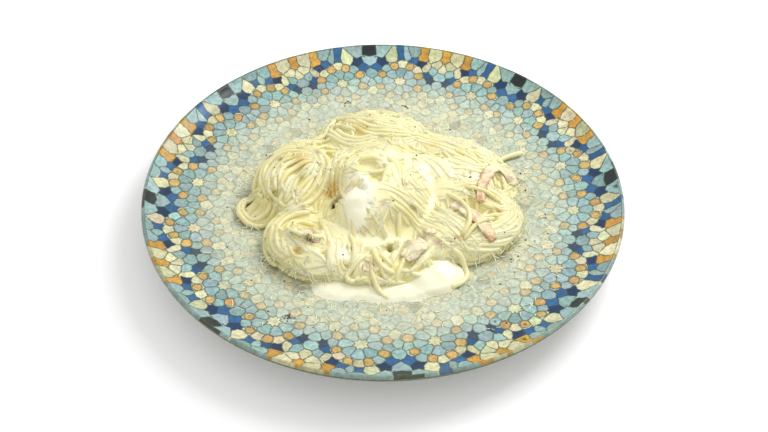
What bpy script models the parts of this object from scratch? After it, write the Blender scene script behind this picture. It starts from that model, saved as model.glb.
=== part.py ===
"""Spaghetti carbonara served on a wide shallow plate.

The plate is a turned piece on a low foot ring. A heap of spaghetti, uneven in outline and
height, lies in its well. A pool of cream sauce has run out at the front of the heap, a dollop
of cream lies on top, and rashers of bacon and slices of ham lie in hollows of the heap.
Lengths are in metres, +Z is up, and the origin is under the plate's centre, on the table.
"""
import math

import bmesh
import bpy
import numpy as np

# Plate: a coupe shape, with a flat-floored well that curves up into a steep lip.
PLATE_RADIUS = 0.140
PLATE_HEIGHT = 0.026
PLATE_THICKNESS = 0.0050
RIM_THICKNESS = 0.0036
CURVE_RADIUS = 0.139        # where the curves of the top face reach height 0
WELL_DEPTH = 0.0185
WELL_SHARE = 0.8            # the well's gentle curve ends at this share of that radius
BORDER_FALL = 0.0160        # of the parabola that the border follows
LIP_RISE = 0.0055           # what the lip adds to it
LIP_POWER = 30              # how late the lip turns up
FOOT_INNER = 0.077
FOOT_OUTER = 0.083
FOOT_SIDE_SLOPE = 0.0025
RECESS_HEIGHT = 0.0040      # the underside's height inside the foot ring
PLATE_SEGMENTS = 64
WELL_RINGS = 7
BORDER_RINGS = 8
UNDER_RINGS = 4
RIM_STEPS = 4

# Gap that is kept between pieces that touch.
GAP = 0.0003
MITRE_LIMIT = 3.0           # how many gaps a sharp edge's corner may move out by

# Spaghetti heap: (x, y, half length, half width, height over the plate, turn in degrees).
HEAP_LUMPS = (
    (-0.048, 0.010, 0.037, 0.030, 0.0230, 80),     # coiled nest on the left
    (-0.043, -0.040, 0.030, 0.022, 0.0165, -50),   # turned-over coil at the front left
    (-0.068, -0.012, 0.017, 0.010, 0.0070, 10),    # loop that sticks out on the left
    (-0.006, -0.006, 0.036, 0.038, 0.0325, 20),    # middle lump
    (-0.006, 0.042, 0.040, 0.031, 0.0245, 0),      # back
    (0.034, 0.016, 0.048, 0.035, 0.0235, -18),     # right
    (0.045, -0.024, 0.038, 0.028, 0.0165, 20),     # front right
    (-0.004, -0.046, 0.044, 0.024, 0.0130, 0),     # front, down to the sauce
)
HEAP_HOLLOW = (-0.029, -0.012, 0.008, 0.0110, 0.0110)   # x, y, reach along x and y, depth
HEAP_CENTRE = (0.0, -0.006)
HEAP_BLEND = 3.2            # the power that blends lumps: higher gives deeper creases
HEAP_ROUNDING = 0.55        # the power that shapes a lump's side
COIL_PITCH = 0.0140         # spacing of the strand ridges that wind round each lump
COIL_RELIEF = 0.0014
CREASE_FADE = 0.005         # the ridges fade out where two lumps are this close in height
HEAP_SEGMENTS = 84
HEAP_RINGS = 14

# Sauce: a shallow pool with a thick fold near its right end.
SAUCE_LUMPS = (
    (0.003, -0.060, 0.041, 0.019, 0.0050, 0),
    (0.028, -0.058, 0.016, 0.015, 0.0085, 30),
    (-0.024, -0.062, 0.019, 0.016, 0.0042, -10),
)
SAUCE_CENTRE = (0.002, -0.060)
SAUCE_BLEND = 4.0
SAUCE_ROUNDING = 0.5
SAUCE_SEGMENTS = 40
SAUCE_RINGS = 6

# Dollop of cream on the middle lump, a thick patch that follows the noodles under it.
DOLLOP_LUMPS = (
    (-0.0168, -0.020, 0.0065, 0.0080, 0.0030, 10),
    (-0.0148, -0.031, 0.0058, 0.0085, 0.0026, 0),
)
DOLLOP_CENTRE = (-0.0158, -0.026)
DOLLOP_SEGMENTS = 24
DOLLOP_RINGS = 4
SINK = 0.0022               # how deep a topping sits in the heap

# Rashers and slices: start x and y, heading in degrees, length, bend in degrees by the end,
# the power that delays the bend, width, thickness, rise of the arch at mid length, and
# sideways tilt in degrees.
TOPPINGS = (
    ("bacon_curl", 0.0560, -0.0155, 88, 0.038, -150, 1.9, 0.0068, 0.0026, 0.0020, 14),
    ("bacon_strip", 0.0400, -0.0192, -36, 0.031, -12, 1.0, 0.0078, 0.0028, 0.0008, -12),
    ("bacon_left", -0.0468, -0.0440, -10, 0.012, -50, 1.0, 0.0062, 0.0028, 0.0012, 10),
    ("bacon_bit", 0.0230, -0.0374, -8, 0.008, 10, 1.0, 0.0044, 0.0026, 0.0000, 0),
    ("ham_slice", 0.0120, -0.0552, 46, 0.015, 0, 1.0, 0.0110, 0.0024, 0.0004, -10),
    ("ham_bit", -0.0112, -0.0620, 10, 0.008, 0, 1.0, 0.0056, 0.0026, 0.0000, 0),
)
TOPPING_STEPS = 7
TOPPING_SIDES = 8
TOPPING_WAVE = 0.0007
TOPPING_CORNER = 0.6        # below 1, a section rounder than a rectangle

CERAMIC_PALE = (0.70, 0.76, 0.72)
PASTA_CREAM = (0.83, 0.76, 0.46)
SAUCE_IVORY = (0.90, 0.88, 0.74)
BACON_PINK = (0.66, 0.36, 0.25)
HAM_PINK = (0.72, 0.58, 0.53)


def clear_scene():
    """Remove every object that the file starts with."""
    for thing in list(bpy.data.objects):
        bpy.data.objects.remove(thing, do_unlink=True)


def material(name, colour, roughness):
    """A plain Principled material."""
    made = bpy.data.materials.new(name)
    made.use_nodes = True
    shader = made.node_tree.nodes["Principled BSDF"]
    shader.inputs["Base Color"].default_value = (*colour, 1.0)
    shader.inputs["Roughness"].default_value = roughness
    shader.inputs["Metallic"].default_value = 0.0
    return made


def add_object(name, mesh, look, crease_angle=40):
    """Link a smooth-shaded mesh object with one material."""
    mesh.materials.append(look)
    mesh.shade_smooth()
    mesh.set_sharp_from_angle(angle=math.radians(crease_angle))
    made = bpy.data.objects.new(name, mesh)
    bpy.context.scene.collection.objects.link(made)
    return made


def plate_depth(radius):
    """Depth of the plate's top face under its curves' own zero, at a distance from the axis.

    A smoothstep from the flat centre to the border, then a parabola plus a late upturn.
    """
    share = np.asarray(radius, float) / CURVE_RADIUS
    border = BORDER_FALL * (1 - share**2) + LIP_RISE * (1 - share**LIP_POWER)
    edge_depth = BORDER_FALL * (1 - WELL_SHARE**2) + LIP_RISE * (1 - WELL_SHARE**LIP_POWER)
    edge_slope = -2 * BORDER_FALL * WELL_SHARE
    edge_slope -= LIP_POWER * LIP_RISE * WELL_SHARE ** (LIP_POWER - 1)
    t = np.clip(share / WELL_SHARE, 0, 1)
    well = WELL_DEPTH * (2 * t**3 - 3 * t**2 + 1)
    well += edge_depth * (3 * t**2 - 2 * t**3)
    well += edge_slope * WELL_SHARE * (t**3 - t**2)
    return np.where(share < WELL_SHARE, well, border)


def plate_top(x, y):
    """Height of the plate's top face, which is highest where the rim's rounding starts."""
    crest = PLATE_RADIUS - RIM_THICKNESS / 2
    radius = np.minimum(np.hypot(x, y), crest)
    return PLATE_HEIGHT + plate_depth(crest) - plate_depth(radius)


def plate_profile():
    """The plate's section from its top centre, over the rim and under the foot, to the axis."""
    well_edge = WELL_SHARE * CURVE_RADIUS
    well = np.linspace(0, well_edge, WELL_RINGS + 1)
    half_rim = RIM_THICKNESS / 2
    rim_start = PLATE_RADIUS - half_rim
    shares = np.linspace(0, 1, BORDER_RINGS + 1)[1:]
    border = well_edge + (rim_start - well_edge) * shares**0.8
    points = [(r, float(plate_top(r, 0))) for r in (*well, *border)]
    rim_top = points[-1][1]
    for step in range(1, RIM_STEPS + 1):
        angle = math.pi / 2 - math.pi * step / RIM_STEPS
        r = rim_start + half_rim * math.cos(angle)
        points.append((r, rim_top - half_rim + half_rim * math.sin(angle)))
    under = np.linspace(rim_start, FOOT_OUTER + FOOT_SIDE_SLOPE, UNDER_RINGS + 1)[1:]
    for r in under:
        share = (rim_start - r) / (rim_start - FOOT_OUTER)
        thickness = RIM_THICKNESS + (PLATE_THICKNESS - RIM_THICKNESS) * min(1, 3 * share)
        points.append((r, float(plate_top(r, 0)) - thickness))
    points.append((FOOT_OUTER, 0.0))
    points.append((FOOT_INNER, 0.0))
    points.append((FOOT_INNER - FOOT_SIDE_SLOPE, RECESS_HEIGHT))
    points.append((0.0, RECESS_HEIGHT))
    return points


def make_plate():
    """Spin the section about the Z axis."""
    work = bmesh.new()
    section = [work.verts.new((r, 0.0, z)) for r, z in plate_profile()]
    edges = [work.edges.new(pair) for pair in zip(section[:-1], section[1:], strict=True)]
    bmesh.ops.spin(
        work,
        geom=section + edges,
        cent=(0, 0, 0),
        axis=(0, 0, 1),
        dvec=(0, 0, 0),
        angle=2 * math.pi,
        steps=PLATE_SEGMENTS,
        use_duplicate=False,
    )
    bmesh.ops.remove_doubles(work, verts=work.verts, dist=1e-6)
    bmesh.ops.recalc_face_normals(work, faces=work.faces)
    mesh = bpy.data.meshes.new("plate")
    work.to_mesh(mesh)
    work.free()
    return add_object("plate", mesh, material("glazed_plate", CERAMIC_PALE, 0.15), 30)


def lump_shares(lumps, x, y):
    """For each lump: the squared distance from its middle, 1 at its outline."""
    shares = []
    for cx, cy, half_length, half_width, _, turn in lumps:
        cos_turn, sin_turn = math.cos(math.radians(turn)), math.sin(math.radians(turn))
        along = (x - cx) * cos_turn + (y - cy) * sin_turn
        across = (y - cy) * cos_turn - (x - cx) * sin_turn
        shares.append((along / half_length) ** 2 + (across / half_width) ** 2)
    return shares


def lump_height(lumps, x, y, blend, rounding):
    """Smooth maximum of the lumps' domes."""
    total = 0.0
    for lump, share in zip(lumps, lump_shares(lumps, x, y), strict=True):
        dome = lump[4] * np.clip(1 - share, 0, 1) ** rounding
        total = total + dome**blend
    return total ** (1 / blend)


def coil_relief(x, y):
    """Ridges that wind round the nearest lump of the heap, like turns of spaghetti."""
    shares = np.stack(lump_shares(HEAP_LUMPS, x, y))
    heights = np.array([lump[4] for lump in HEAP_LUMPS])
    domes = heights[:, None, None] * np.clip(1 - shares, 0, 1) ** HEAP_ROUNDING
    owner = np.argmax(domes, axis=0)
    ranked = np.sort(domes, axis=0)
    centre_x = np.array([lump[0] for lump in HEAP_LUMPS])[owner]
    centre_y = np.array([lump[1] for lump in HEAP_LUMPS])[owner]
    size = np.array([(lump[2] + lump[3]) / 2 for lump in HEAP_LUMPS])[owner]
    share = np.take_along_axis(shares, owner[None], axis=0)[0]
    winding = np.arctan2(y - centre_y, x - centre_x)
    phase = 2 * math.pi * np.sqrt(share) * size / COIL_PITCH + winding
    fade = np.clip(4 * (1 - share), 0, 1) * np.clip((ranked[-1] - ranked[-2]) / CREASE_FADE, 0, 1)
    return COIL_RELIEF * fade * np.sin(phase)


def heap_hollow(x, y):
    """Depth of the gap between the left nest and the middle lump."""
    cx, cy, reach_x, reach_y, depth = HEAP_HOLLOW
    return depth * np.exp(-(((x - cx) / reach_x) ** 2) - ((y - cy) / reach_y) ** 2)


def heap_relief(x, y):
    """What the strand ridges and the hollow add to the domes."""
    return coil_relief(x, y) - heap_hollow(x, y)


def heap_top(x, y):
    """Height of the heap's top face over the table, without its ridges."""
    rise = lump_height(HEAP_LUMPS, x, y, HEAP_BLEND, HEAP_ROUNDING)
    return plate_top(x, y) + GAP + rise - heap_hollow(x, y)


def outline_radius(lumps, centre, angles):
    """Distance from the centre to the joined outline of the lumps, at each angle."""
    low = np.zeros_like(angles)
    high = np.full_like(angles, 2 * PLATE_RADIUS)
    for _ in range(40):
        middle = (low + high) / 2
        x = centre[0] + middle * np.cos(angles)
        y = centre[1] + middle * np.sin(angles)
        inside = np.min(lump_shares(lumps, x, y), axis=0) < 1
        low, high = np.where(inside, middle, low), np.where(inside, high, middle)
    return low


def closed_mesh(name, vertices, faces):
    """A closed mesh of triangles facing out; flat faces keep a Boolean cut exact."""
    mesh = bpy.data.meshes.new(name)
    mesh.from_pydata(vertices, [], faces)
    work = bmesh.new()
    work.from_mesh(mesh)
    bmesh.ops.triangulate(work, faces=work.faces)
    bmesh.ops.recalc_face_normals(work, faces=work.faces)
    work.to_mesh(mesh)
    work.free()
    return mesh


def mound_mesh(name, lumps, centre, base, blend, rounding, rings, segments,
               relief=None, sink=0.0):
    """A closed mound: polar rings of points from the centre out to the joined outline.

    The top is base + dome (+ relief), and the underside is base - sink, so both meet in one
    ring of points at the outline.
    """
    angles = 2 * math.pi * np.arange(segments) / segments
    reach = outline_radius(lumps, centre, angles)
    top_shares = np.sin(np.linspace(0, math.pi / 2, rings + 1))[1:]
    under_shares = np.linspace(1, 0, max(3, rings // 4) + 1)[1:-1]
    points = []

    def add_ring(share, height):
        x = centre[0] + share * reach * np.cos(angles)
        y = centre[1] + share * reach * np.sin(angles)
        points.append(np.stack([x, y, height(x, y)], axis=1))

    def top(x, y):
        rise = lump_height(lumps, x, y, blend, rounding)
        shape = base(x, y) + rise
        if relief is not None:
            shape = shape + relief(x[None], y[None])[0]
        return shape

    def outline(x, y):
        return base(x, y) - 0.5 * sink

    def under(x, y):
        return base(x, y) - sink

    for share in top_shares[:-1]:
        add_ring(share, top)
    add_ring(1.0, outline)
    for share in under_shares:
        add_ring(share, under)
    ring_count = len(points)
    vertices = np.concatenate(points)
    middle = (np.array([centre[0]]), np.array([centre[1]]))
    poles = [(*centre, float(top(*middle)[0])), (*centre, float(under(*middle)[0]))]
    top_pole, under_pole = len(vertices), len(vertices) + 1
    faces = []
    for k in range(segments):
        after = (k + 1) % segments
        faces.append((top_pole, k, after))
        for ring in range(ring_count - 1):
            a, b = ring * segments, (ring + 1) * segments
            faces.append((a + k, b + k, b + after, a + after))
        last = (ring_count - 1) * segments
        faces.append((under_pole, last + after, last + k))
    return closed_mesh(name, np.concatenate([vertices, poles]), faces)


def topping_mesh(name, x, y, heading, length, bend, delay, width, thickness, rise, tilt):
    """A bent strip with a rounded section, laid on the heap along an arc seen from above."""
    steps = np.linspace(0, 1, TOPPING_STEPS + 1)
    turn = np.radians(heading + bend * steps**delay)
    step_length = length / TOPPING_STEPS
    path_x = x + np.concatenate([[0], np.cumsum(np.cos(turn[:-1]) * step_length)])
    path_y = y + np.concatenate([[0], np.cumsum(np.sin(turn[:-1]) * step_length)])
    path_z = heap_top(path_x, path_y) + thickness / 2 - SINK / 2
    path_z = np.convolve(np.pad(path_z, 1, mode="edge"), (0.25, 0.5, 0.25), mode="valid")
    path_z += rise * np.sin(math.pi * steps) + TOPPING_WAVE * np.sin(3 * math.pi * steps)
    taper = 0.72 + 0.28 * np.sin(math.pi * steps) ** 0.5
    angles = 2 * math.pi * np.arange(TOPPING_SIDES) / TOPPING_SIDES
    across = np.sign(np.cos(angles)) * np.abs(np.cos(angles)) ** TOPPING_CORNER
    upward = np.sign(np.sin(angles)) * np.abs(np.sin(angles)) ** TOPPING_CORNER
    side = width / 2 * taper[:, None] * across
    lift = thickness / 2 * upward + 0 * taper[:, None]
    lean = np.radians(tilt)
    out = side * math.cos(lean) - lift * math.sin(lean)
    up = side * math.sin(lean) + lift * math.cos(lean)
    px = path_x[:, None] - out * np.sin(turn)[:, None]
    py = path_y[:, None] + out * np.cos(turn)[:, None]
    pz = path_z[:, None] + up
    vertices = np.stack([px, py, pz], axis=2).reshape(-1, 3)
    faces = []
    for ring in range(TOPPING_STEPS):
        a, b = ring * TOPPING_SIDES, (ring + 1) * TOPPING_SIDES
        for k in range(TOPPING_SIDES):
            after = (k + 1) % TOPPING_SIDES
            faces.append((a + k, a + after, b + after, b + k))
    faces.append(tuple(reversed(range(TOPPING_SIDES))))
    faces.append(tuple(TOPPING_STEPS * TOPPING_SIDES + k for k in range(TOPPING_SIDES)))
    return closed_mesh(name, vertices, faces)


def add_cutter(piece):
    """A guide object, larger than a piece by the gap all round, that only cuts its pocket."""
    work = bmesh.new()
    work.from_mesh(piece.data)
    work.normal_update()
    moves = [v.normal * GAP * min(v.calc_shell_factor(), MITRE_LIMIT) for v in work.verts]
    for vertex, move in zip(work.verts, moves, strict=True):
        vertex.co += move
    mesh = bpy.data.meshes.new("cut_" + piece.name)
    work.to_mesh(mesh)
    work.free()
    made = bpy.data.objects.new("cut_" + piece.name, mesh)
    bpy.context.scene.collection.objects.link(made)
    made.display_type = "WIRE"
    made.hide_render = True
    return made


def cut(target, cutter):
    """Cut one object's shape out of another."""
    step = target.modifiers.new(cutter.name, "BOOLEAN")
    step.operation = "DIFFERENCE"
    step.solver = "EXACT"
    step.object = cutter


def food_floor(x, y):
    """The plate's top face, with the gap that food keeps over it."""
    return plate_top(x, y) + GAP


def build():
    """Make the plate, the heap, the sauce and the toppings."""
    clear_scene()
    make_plate()
    pasta = material("pasta", PASTA_CREAM, 0.45)
    sauce = material("cream_sauce", SAUCE_IVORY, 0.30)
    bacon = material("bacon", BACON_PINK, 0.45)
    ham = material("ham", HAM_PINK, 0.45)
    heap_mesh = mound_mesh("spaghetti", HEAP_LUMPS, HEAP_CENTRE, food_floor, HEAP_BLEND,
                           HEAP_ROUNDING, HEAP_RINGS, HEAP_SEGMENTS, relief=heap_relief)
    pool_mesh = mound_mesh("sauce_pool", SAUCE_LUMPS, SAUCE_CENTRE, food_floor, SAUCE_BLEND,
                           SAUCE_ROUNDING, SAUCE_RINGS, SAUCE_SEGMENTS)
    dollop_mesh = mound_mesh("cream_dollop", DOLLOP_LUMPS, DOLLOP_CENTRE, heap_top,
                             SAUCE_BLEND, SAUCE_ROUNDING, DOLLOP_RINGS, DOLLOP_SEGMENTS,
                             sink=SINK)
    heap = add_object("spaghetti", heap_mesh, pasta, 60)
    laid_in = [
        add_object("sauce_pool", pool_mesh, sauce, 60),
        add_object("cream_dollop", dollop_mesh, sauce, 60),
    ]
    for name, *sizes in TOPPINGS:
        look = ham if name.startswith("ham") else bacon
        laid_in.append(add_object(name, topping_mesh(name, *sizes), look, 50))
    for piece in laid_in:
        cut(heap, add_cutter(piece))


build()
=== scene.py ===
"""Spaghetti carbonara on a wide shallow mosaic-patterned plate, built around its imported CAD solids."""
import math

import bpy
import numpy as np
from mathutils import Matrix, Vector
from mathutils.geometry import delaunay_2d_cdt


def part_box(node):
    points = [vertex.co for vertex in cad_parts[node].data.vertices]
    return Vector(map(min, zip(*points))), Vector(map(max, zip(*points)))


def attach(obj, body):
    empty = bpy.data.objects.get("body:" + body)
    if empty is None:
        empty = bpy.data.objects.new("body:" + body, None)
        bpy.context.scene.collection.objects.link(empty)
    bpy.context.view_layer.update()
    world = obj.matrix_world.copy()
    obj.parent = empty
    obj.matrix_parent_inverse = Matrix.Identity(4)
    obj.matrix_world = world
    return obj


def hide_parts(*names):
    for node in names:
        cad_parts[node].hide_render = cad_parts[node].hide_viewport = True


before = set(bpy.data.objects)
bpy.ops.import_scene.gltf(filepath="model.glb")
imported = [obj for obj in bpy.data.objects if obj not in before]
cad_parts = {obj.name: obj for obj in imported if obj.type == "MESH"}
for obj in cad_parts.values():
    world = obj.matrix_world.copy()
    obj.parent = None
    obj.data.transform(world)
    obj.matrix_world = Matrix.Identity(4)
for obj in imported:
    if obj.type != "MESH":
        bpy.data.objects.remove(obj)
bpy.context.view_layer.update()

MM = 0.001

# --- Table, light and camera --------------------------------------------------------------
# A white studio table, lit softly from all round with one large lamp behind the right
# shoulder of the plate, so that the shadow falls to the near left.
CAMERA_PLACE = Vector((0.000616, -0.44292, 0.43938))
CAMERA_AIM = Vector((0.000616, -0.026544, 0.0256))
CAMERA_LENS = 48.47
CAMERA_ROLL = math.radians(0.43)
LAMP_PLACE = Vector((0.42, 0.34, 0.62))
LAMP_SIZE = 0.42
LAMP_POWER = 4.5
SKY_STRENGTH = 0.85
TABLE_GLOW = 0.15
TABLE_SIZE = 6.0


def start_finish(name):
    """An empty node material: returns the material, its node tree and its main shader."""
    material = bpy.data.materials.new(name)
    material.use_nodes = True
    tree = material.node_tree
    tree.nodes.clear()
    output = tree.nodes.new("ShaderNodeOutputMaterial")
    shader = tree.nodes.new("ShaderNodeBsdfPrincipled")
    tree.links.new(shader.outputs["BSDF"], output.inputs["Surface"])
    return material, tree, shader


def join(tree, source, target):
    """Puts a value, or another node's output, into a socket."""
    if isinstance(source, bpy.types.NodeSocket):
        tree.links.new(source, target)
    elif isinstance(source, tuple) and len(source) == 3 and target.type == "RGBA":
        target.default_value = (*source, 1.0)
    else:
        target.default_value = source


def add(tree, kind, sockets=None, **settings):
    """One node of the given kind, with its settings and its input sockets filled."""
    made = tree.nodes.new(kind)
    for key, value in settings.items():
        setattr(made, key, value)
    for key, value in (sockets or {}).items():
        join(tree, value, made.inputs[key])
    return made


def paint(red, green, blue):
    """A colour given as 0-255 display values, as the linear values that a shader reads."""
    share = np.array([red, green, blue]) / 255.0
    linear = np.where(share <= 0.04045, share / 12.92, ((share + 0.055) / 1.055) ** 2.4)
    return tuple(float(v) for v in linear)


def mixed(tree, amount, first, second, mode="MIX"):
    """Two colours mixed by an amount between 0 and 1."""
    mixer = add(tree, "ShaderNodeMix", data_type="RGBA", blend_type=mode)
    join(tree, amount, mixer.inputs[0])
    join(tree, first, mixer.inputs[6])
    join(tree, second, mixer.inputs[7])
    return mixer.outputs[2]


def ranged(tree, value, low, high, out_low=0.0, out_high=1.0):
    """A value moved from one range to another, clamped at both ends."""
    return add(tree, "ShaderNodeMapRange", {
        "Value": value, "From Min": low, "From Max": high,
        "To Min": out_low, "To Max": out_high}).outputs[0]


def cloudy(tree, where, scale, detail=3.0, roughness=0.5):
    """Soft noise between 0 and 1 at so many waves a metre."""
    return add(tree, "ShaderNodeTexNoise", {
        "Vector": where, "Scale": scale, "Detail": detail, "Roughness": roughness}).outputs[0]


def maths(tree, operation, first, second=0.0):
    """The result of one named operation on two values."""
    return add(tree, "ShaderNodeMath", {0: first, 1: second}, operation=operation).outputs[0]


def stored(tree, name, output="Fac"):
    """A value or a colour stored on the mesh under that name."""
    return add(tree, "ShaderNodeAttribute", attribute_name=name).outputs[output]


def place_of(tree):
    """Object coordinates, which are metres in the part's own frame."""
    return add(tree, "ShaderNodeTexCoord").outputs["Object"]


def let_light_in(shader, weight, scale, radius=None):
    """Light that enters the food and leaves near by: how much, how far and of which colour."""
    shader.inputs["Subsurface Weight"].default_value = weight
    shader.inputs["Subsurface Scale"].default_value = scale
    if radius:
        shader.inputs["Subsurface Radius"].default_value = radius


def relief(tree, height, distance, strength, shader):
    """Joins a height to a shader's normal as a bump of so many metres."""
    bump = add(tree, "ShaderNodeBump", {
        "Height": height, "Distance": distance, "Strength": strength})
    tree.links.new(bump.outputs[0], shader.inputs["Normal"])


def build_mesh(name, points, faces, material, layers=None, corner_layers=None):
    """A smooth-shaded object at the origin from a point array and lists of face arrays."""
    mesh = bpy.data.meshes.new(name)
    mesh.from_pydata(points.tolist(), [], [tuple(f) for group in faces for f in group.tolist()])
    mesh.update()
    mesh.polygons.foreach_set("use_smooth", np.ones(len(mesh.polygons), bool))
    for domain, table in (("POINT", layers), ("CORNER", corner_layers)):
        for layer, values in (table or {}).items():
            flat = np.ascontiguousarray(values, np.float32)
            if flat.ndim == 1:
                mesh.attributes.new(layer, "FLOAT", domain).data.foreach_set("value", flat)
            else:
                full = np.concatenate([flat, np.ones((len(flat), 1), np.float32)], 1)
                attribute = mesh.attributes.new(layer, "FLOAT_COLOR", domain)
                attribute.data.foreach_set("color", full.ravel())
    mesh.materials.append(material)
    made = bpy.data.objects.new(name, mesh)
    bpy.context.scene.collection.objects.link(made)
    return made


table_finish, tree, shader = start_finish("white_table")
table_tone = cloudy(tree, place_of(tree), 3.0)
join(tree, mixed(tree, table_tone, (0.86, 0.86, 0.86), (0.88, 0.88, 0.88)), shader.inputs["Base Color"])
shader.inputs["Roughness"].default_value = 0.9
shader.inputs["Specular IOR Level"].default_value = 0.1
shader.inputs["Emission Color"].default_value = (1.0, 1.0, 1.0, 1.0)
shader.inputs["Emission Strength"].default_value = TABLE_GLOW
corners = np.array([(-1, -1, 0), (1, -1, 0), (1, 1, 0), (-1, 1, 0)]) * TABLE_SIZE / 2
table = build_mesh("table_top", corners, [np.array([[0, 1, 2, 3]])], table_finish)

camera = bpy.data.objects.new("camera", bpy.data.cameras.new("camera"))
camera.data.lens = CAMERA_LENS
turn = (CAMERA_AIM - CAMERA_PLACE).to_track_quat("-Z", "Y").to_matrix().to_4x4()
camera.matrix_world = Matrix.Translation(CAMERA_PLACE) @ turn @ Matrix.Rotation(CAMERA_ROLL, 4, "Z")
lamp = bpy.data.objects.new("soft_lamp", bpy.data.lights.new("soft_lamp", "AREA"))
lamp.data.size = LAMP_SIZE
lamp.data.energy = LAMP_POWER
lamp.matrix_world = Matrix.Translation(LAMP_PLACE) @ (
    -LAMP_PLACE).to_track_quat("-Z", "Y").to_matrix().to_4x4()
for item in (camera, lamp):
    bpy.context.scene.collection.objects.link(item)
bpy.context.scene.camera = camera
world = bpy.data.worlds.new("studio")
world.use_nodes = True
world.node_tree.nodes["Background"].inputs[0].default_value = (1.0, 1.0, 1.0, 1.0)
world.node_tree.nodes["Background"].inputs[1].default_value = SKY_STRENGTH
bpy.context.scene.world = world
bpy.context.scene.view_settings.view_transform = "Standard"

# --- Plate ---------------------------------------------------------------------------------
# A moulded stoneware coupe plate, glazed white and printed under a clear glaze with a
# mosaic of small stars, discs and kites, strong at the rim and pale towards the middle.
PLATE_RADIUS = 140.0 * MM
PLATE_HEIGHT = 26.0 * MM
PLATE_THICKNESS = 5.0 * MM
RIM_THICKNESS = 3.6 * MM
CURVE_RADIUS = 139.0 * MM
WELL_DEPTH = 18.5 * MM
WELL_SHARE = 0.8
BORDER_FALL = 16.0 * MM
LIP_RISE = 5.5 * MM
LIP_POWER = 30
FOOT_INNER = 77.0 * MM
FOOT_OUTER = 83.0 * MM
FOOT_SIDE_SLOPE = 2.5 * MM
RECESS_HEIGHT = 4.0 * MM
CREST = PLATE_RADIUS - RIM_THICKNESS / 2

PATTERN_FOLDS = 8
PATTERN_TURN = -108.08
ROSETTE_ANGLE = 12.58
ROSETTE_REACH = 111.6
STAR_NOTCH = 0.28
LIP_ROWS = 3
SEED_GAP = 3.5
FILL_PITCH = 6.0
FILL_GAP = 4.5
FILL_RIM = (0.66, 0.08, 0.05, 0.07, 0.14)
FILL_BORDER = (0.50, 0.42, 0.07, 0.01, 0.0)
FILL_BAND = (0.74, 0.22, 0.03, 0.01, 0.0)
FILL_WELL = (0.36, 0.58, 0.04, 0.02, 0.0)
DISC_RADIUS = 3.0
PALE, CREAM, OCHRE, ORANGE, BLUE, NAVY, MIST, SAND, INK = range(9)
TILE_PAINTS = np.array([
    paint(146, 176, 174), paint(206, 203, 164), paint(196, 162, 98), paint(194, 146, 62),
    paint(44, 94, 142), paint(20, 52, 88), paint(104, 140, 138), paint(182, 162, 96),
    paint(34, 42, 42)])
# kind, degrees from the axis, millimetres from the middle, star or plain
AXIS_TILES = (
    (ORANGE, 0.0, 133.4, 1), (ORANGE, 6.3, 132.8, 1), (CREAM, 0.0, 126.4, 0),
    (CREAM, 1.9, 128.8, 0), (CREAM, 3.1, 134.6, 0), (SAND, 1.2, 138.2, 0),
    (PALE, 2.9, 123.6, 0), (PALE, 9.6, 134.6, 0), (PALE, 12.6, 137.0, 0), (PALE, 15.4, 134.0, 0),
    (SAND, 5.2, 138.4, 0), (PALE, 0.0, 119.0, 0), (PALE, 0.0, 111.6, 0), (PALE, 0.0, 104.6, 0),
    (CREAM, 0.0, 97.3, 1), (PALE, 22.5, 129.4, 1), (INK, 22.5, 136.6, 0), (PALE, 18.6, 137.0, 0),
    (PALE, 22.5, 92.0, 1), (OCHRE, 19.0, 85.0, 0), (INK, 14.6, 84.0, 0), (PALE, 17.6, 91.0, 0),
    (CREAM, 22.5, 104.0, 0))
# kind, degrees round the rosette from its outer side, millimetres from its middle, star or plain
ROSETTE_TILES = (
    [(CREAM, 0.0, 0.0, 1)]
    + [(PALE, 45.0 * k, 8.6, 0) for k in range(8)]
    + [(OCHRE, 22.5 + 45.0 * k, 13.9, 0) for k in range(8)]
    + [(CREAM if k in (0, 7) else PALE, 45.0 * k, 14.6, 0) for k in range(8)]
    + [(NAVY, -86.0, 19.4, 1), (BLUE, -69.0, 18.8, 1), (CREAM, -55.5, 20.6, 0), (NAVY, -42.0, 19.6, 1),
       (BLUE, -21.0, 19.4, 1), (PALE, -9.5, 21.0, 0), (BLUE, 2.0, 20.2, 1), (CREAM, 21.0, 20.4, 0),
       (NAVY, 40.0, 19.8, 1), (BLUE, 57.0, 19.0, 1), (PALE, 76.0, 19.8, 0), (PALE, 96.0, 19.4, 0),
       (CREAM, 118.0, 19.0, 0), (PALE, 141.0, 19.0, 0), (CREAM, 163.0, 19.0, 0), (CREAM, 186.0, 19.0, 0),
       (PALE, 209.0, 19.0, 0), (CREAM, 232.0, 19.0, 0), (PALE, 255.0, 19.0, 0)])


def plate_depth(radius):
    """How far the glazed face lies under the crest line: a border that falls as a parabola
    with a sharp lip as a high power, and inside it a cubic that levels out in the middle."""
    def border(share):
        """Fall of the border: a parabola, and a high power for the lip."""
        return BORDER_FALL * (1 - share ** 2) + LIP_RISE * (1 - share ** LIP_POWER)
    share = np.asarray(radius) / CURVE_RADIUS
    slope = -2 * BORDER_FALL * WELL_SHARE - LIP_RISE * LIP_POWER * WELL_SHARE ** (LIP_POWER - 1)
    step = np.clip(share / WELL_SHARE, 0, 1)
    inner = (WELL_DEPTH * (2 * step ** 3 - 3 * step ** 2 + 1)
             + border(WELL_SHARE) * (3 * step ** 2 - 2 * step ** 3)
             + slope * WELL_SHARE * (step ** 3 - step ** 2))
    return np.where(share < WELL_SHARE, inner, border(share))


def plate_top(radius):
    """Height of the glazed face at a distance from the middle, level past the crest."""
    return PLATE_HEIGHT + plate_depth(CREST) - plate_depth(np.minimum(radius, CREST))


def on_axis(angle, reach):
    """A point at degrees from the pattern's axis and millimetres from the middle."""
    return np.array([reach * math.cos(math.radians(angle)), reach * math.sin(math.radians(angle))])


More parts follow.
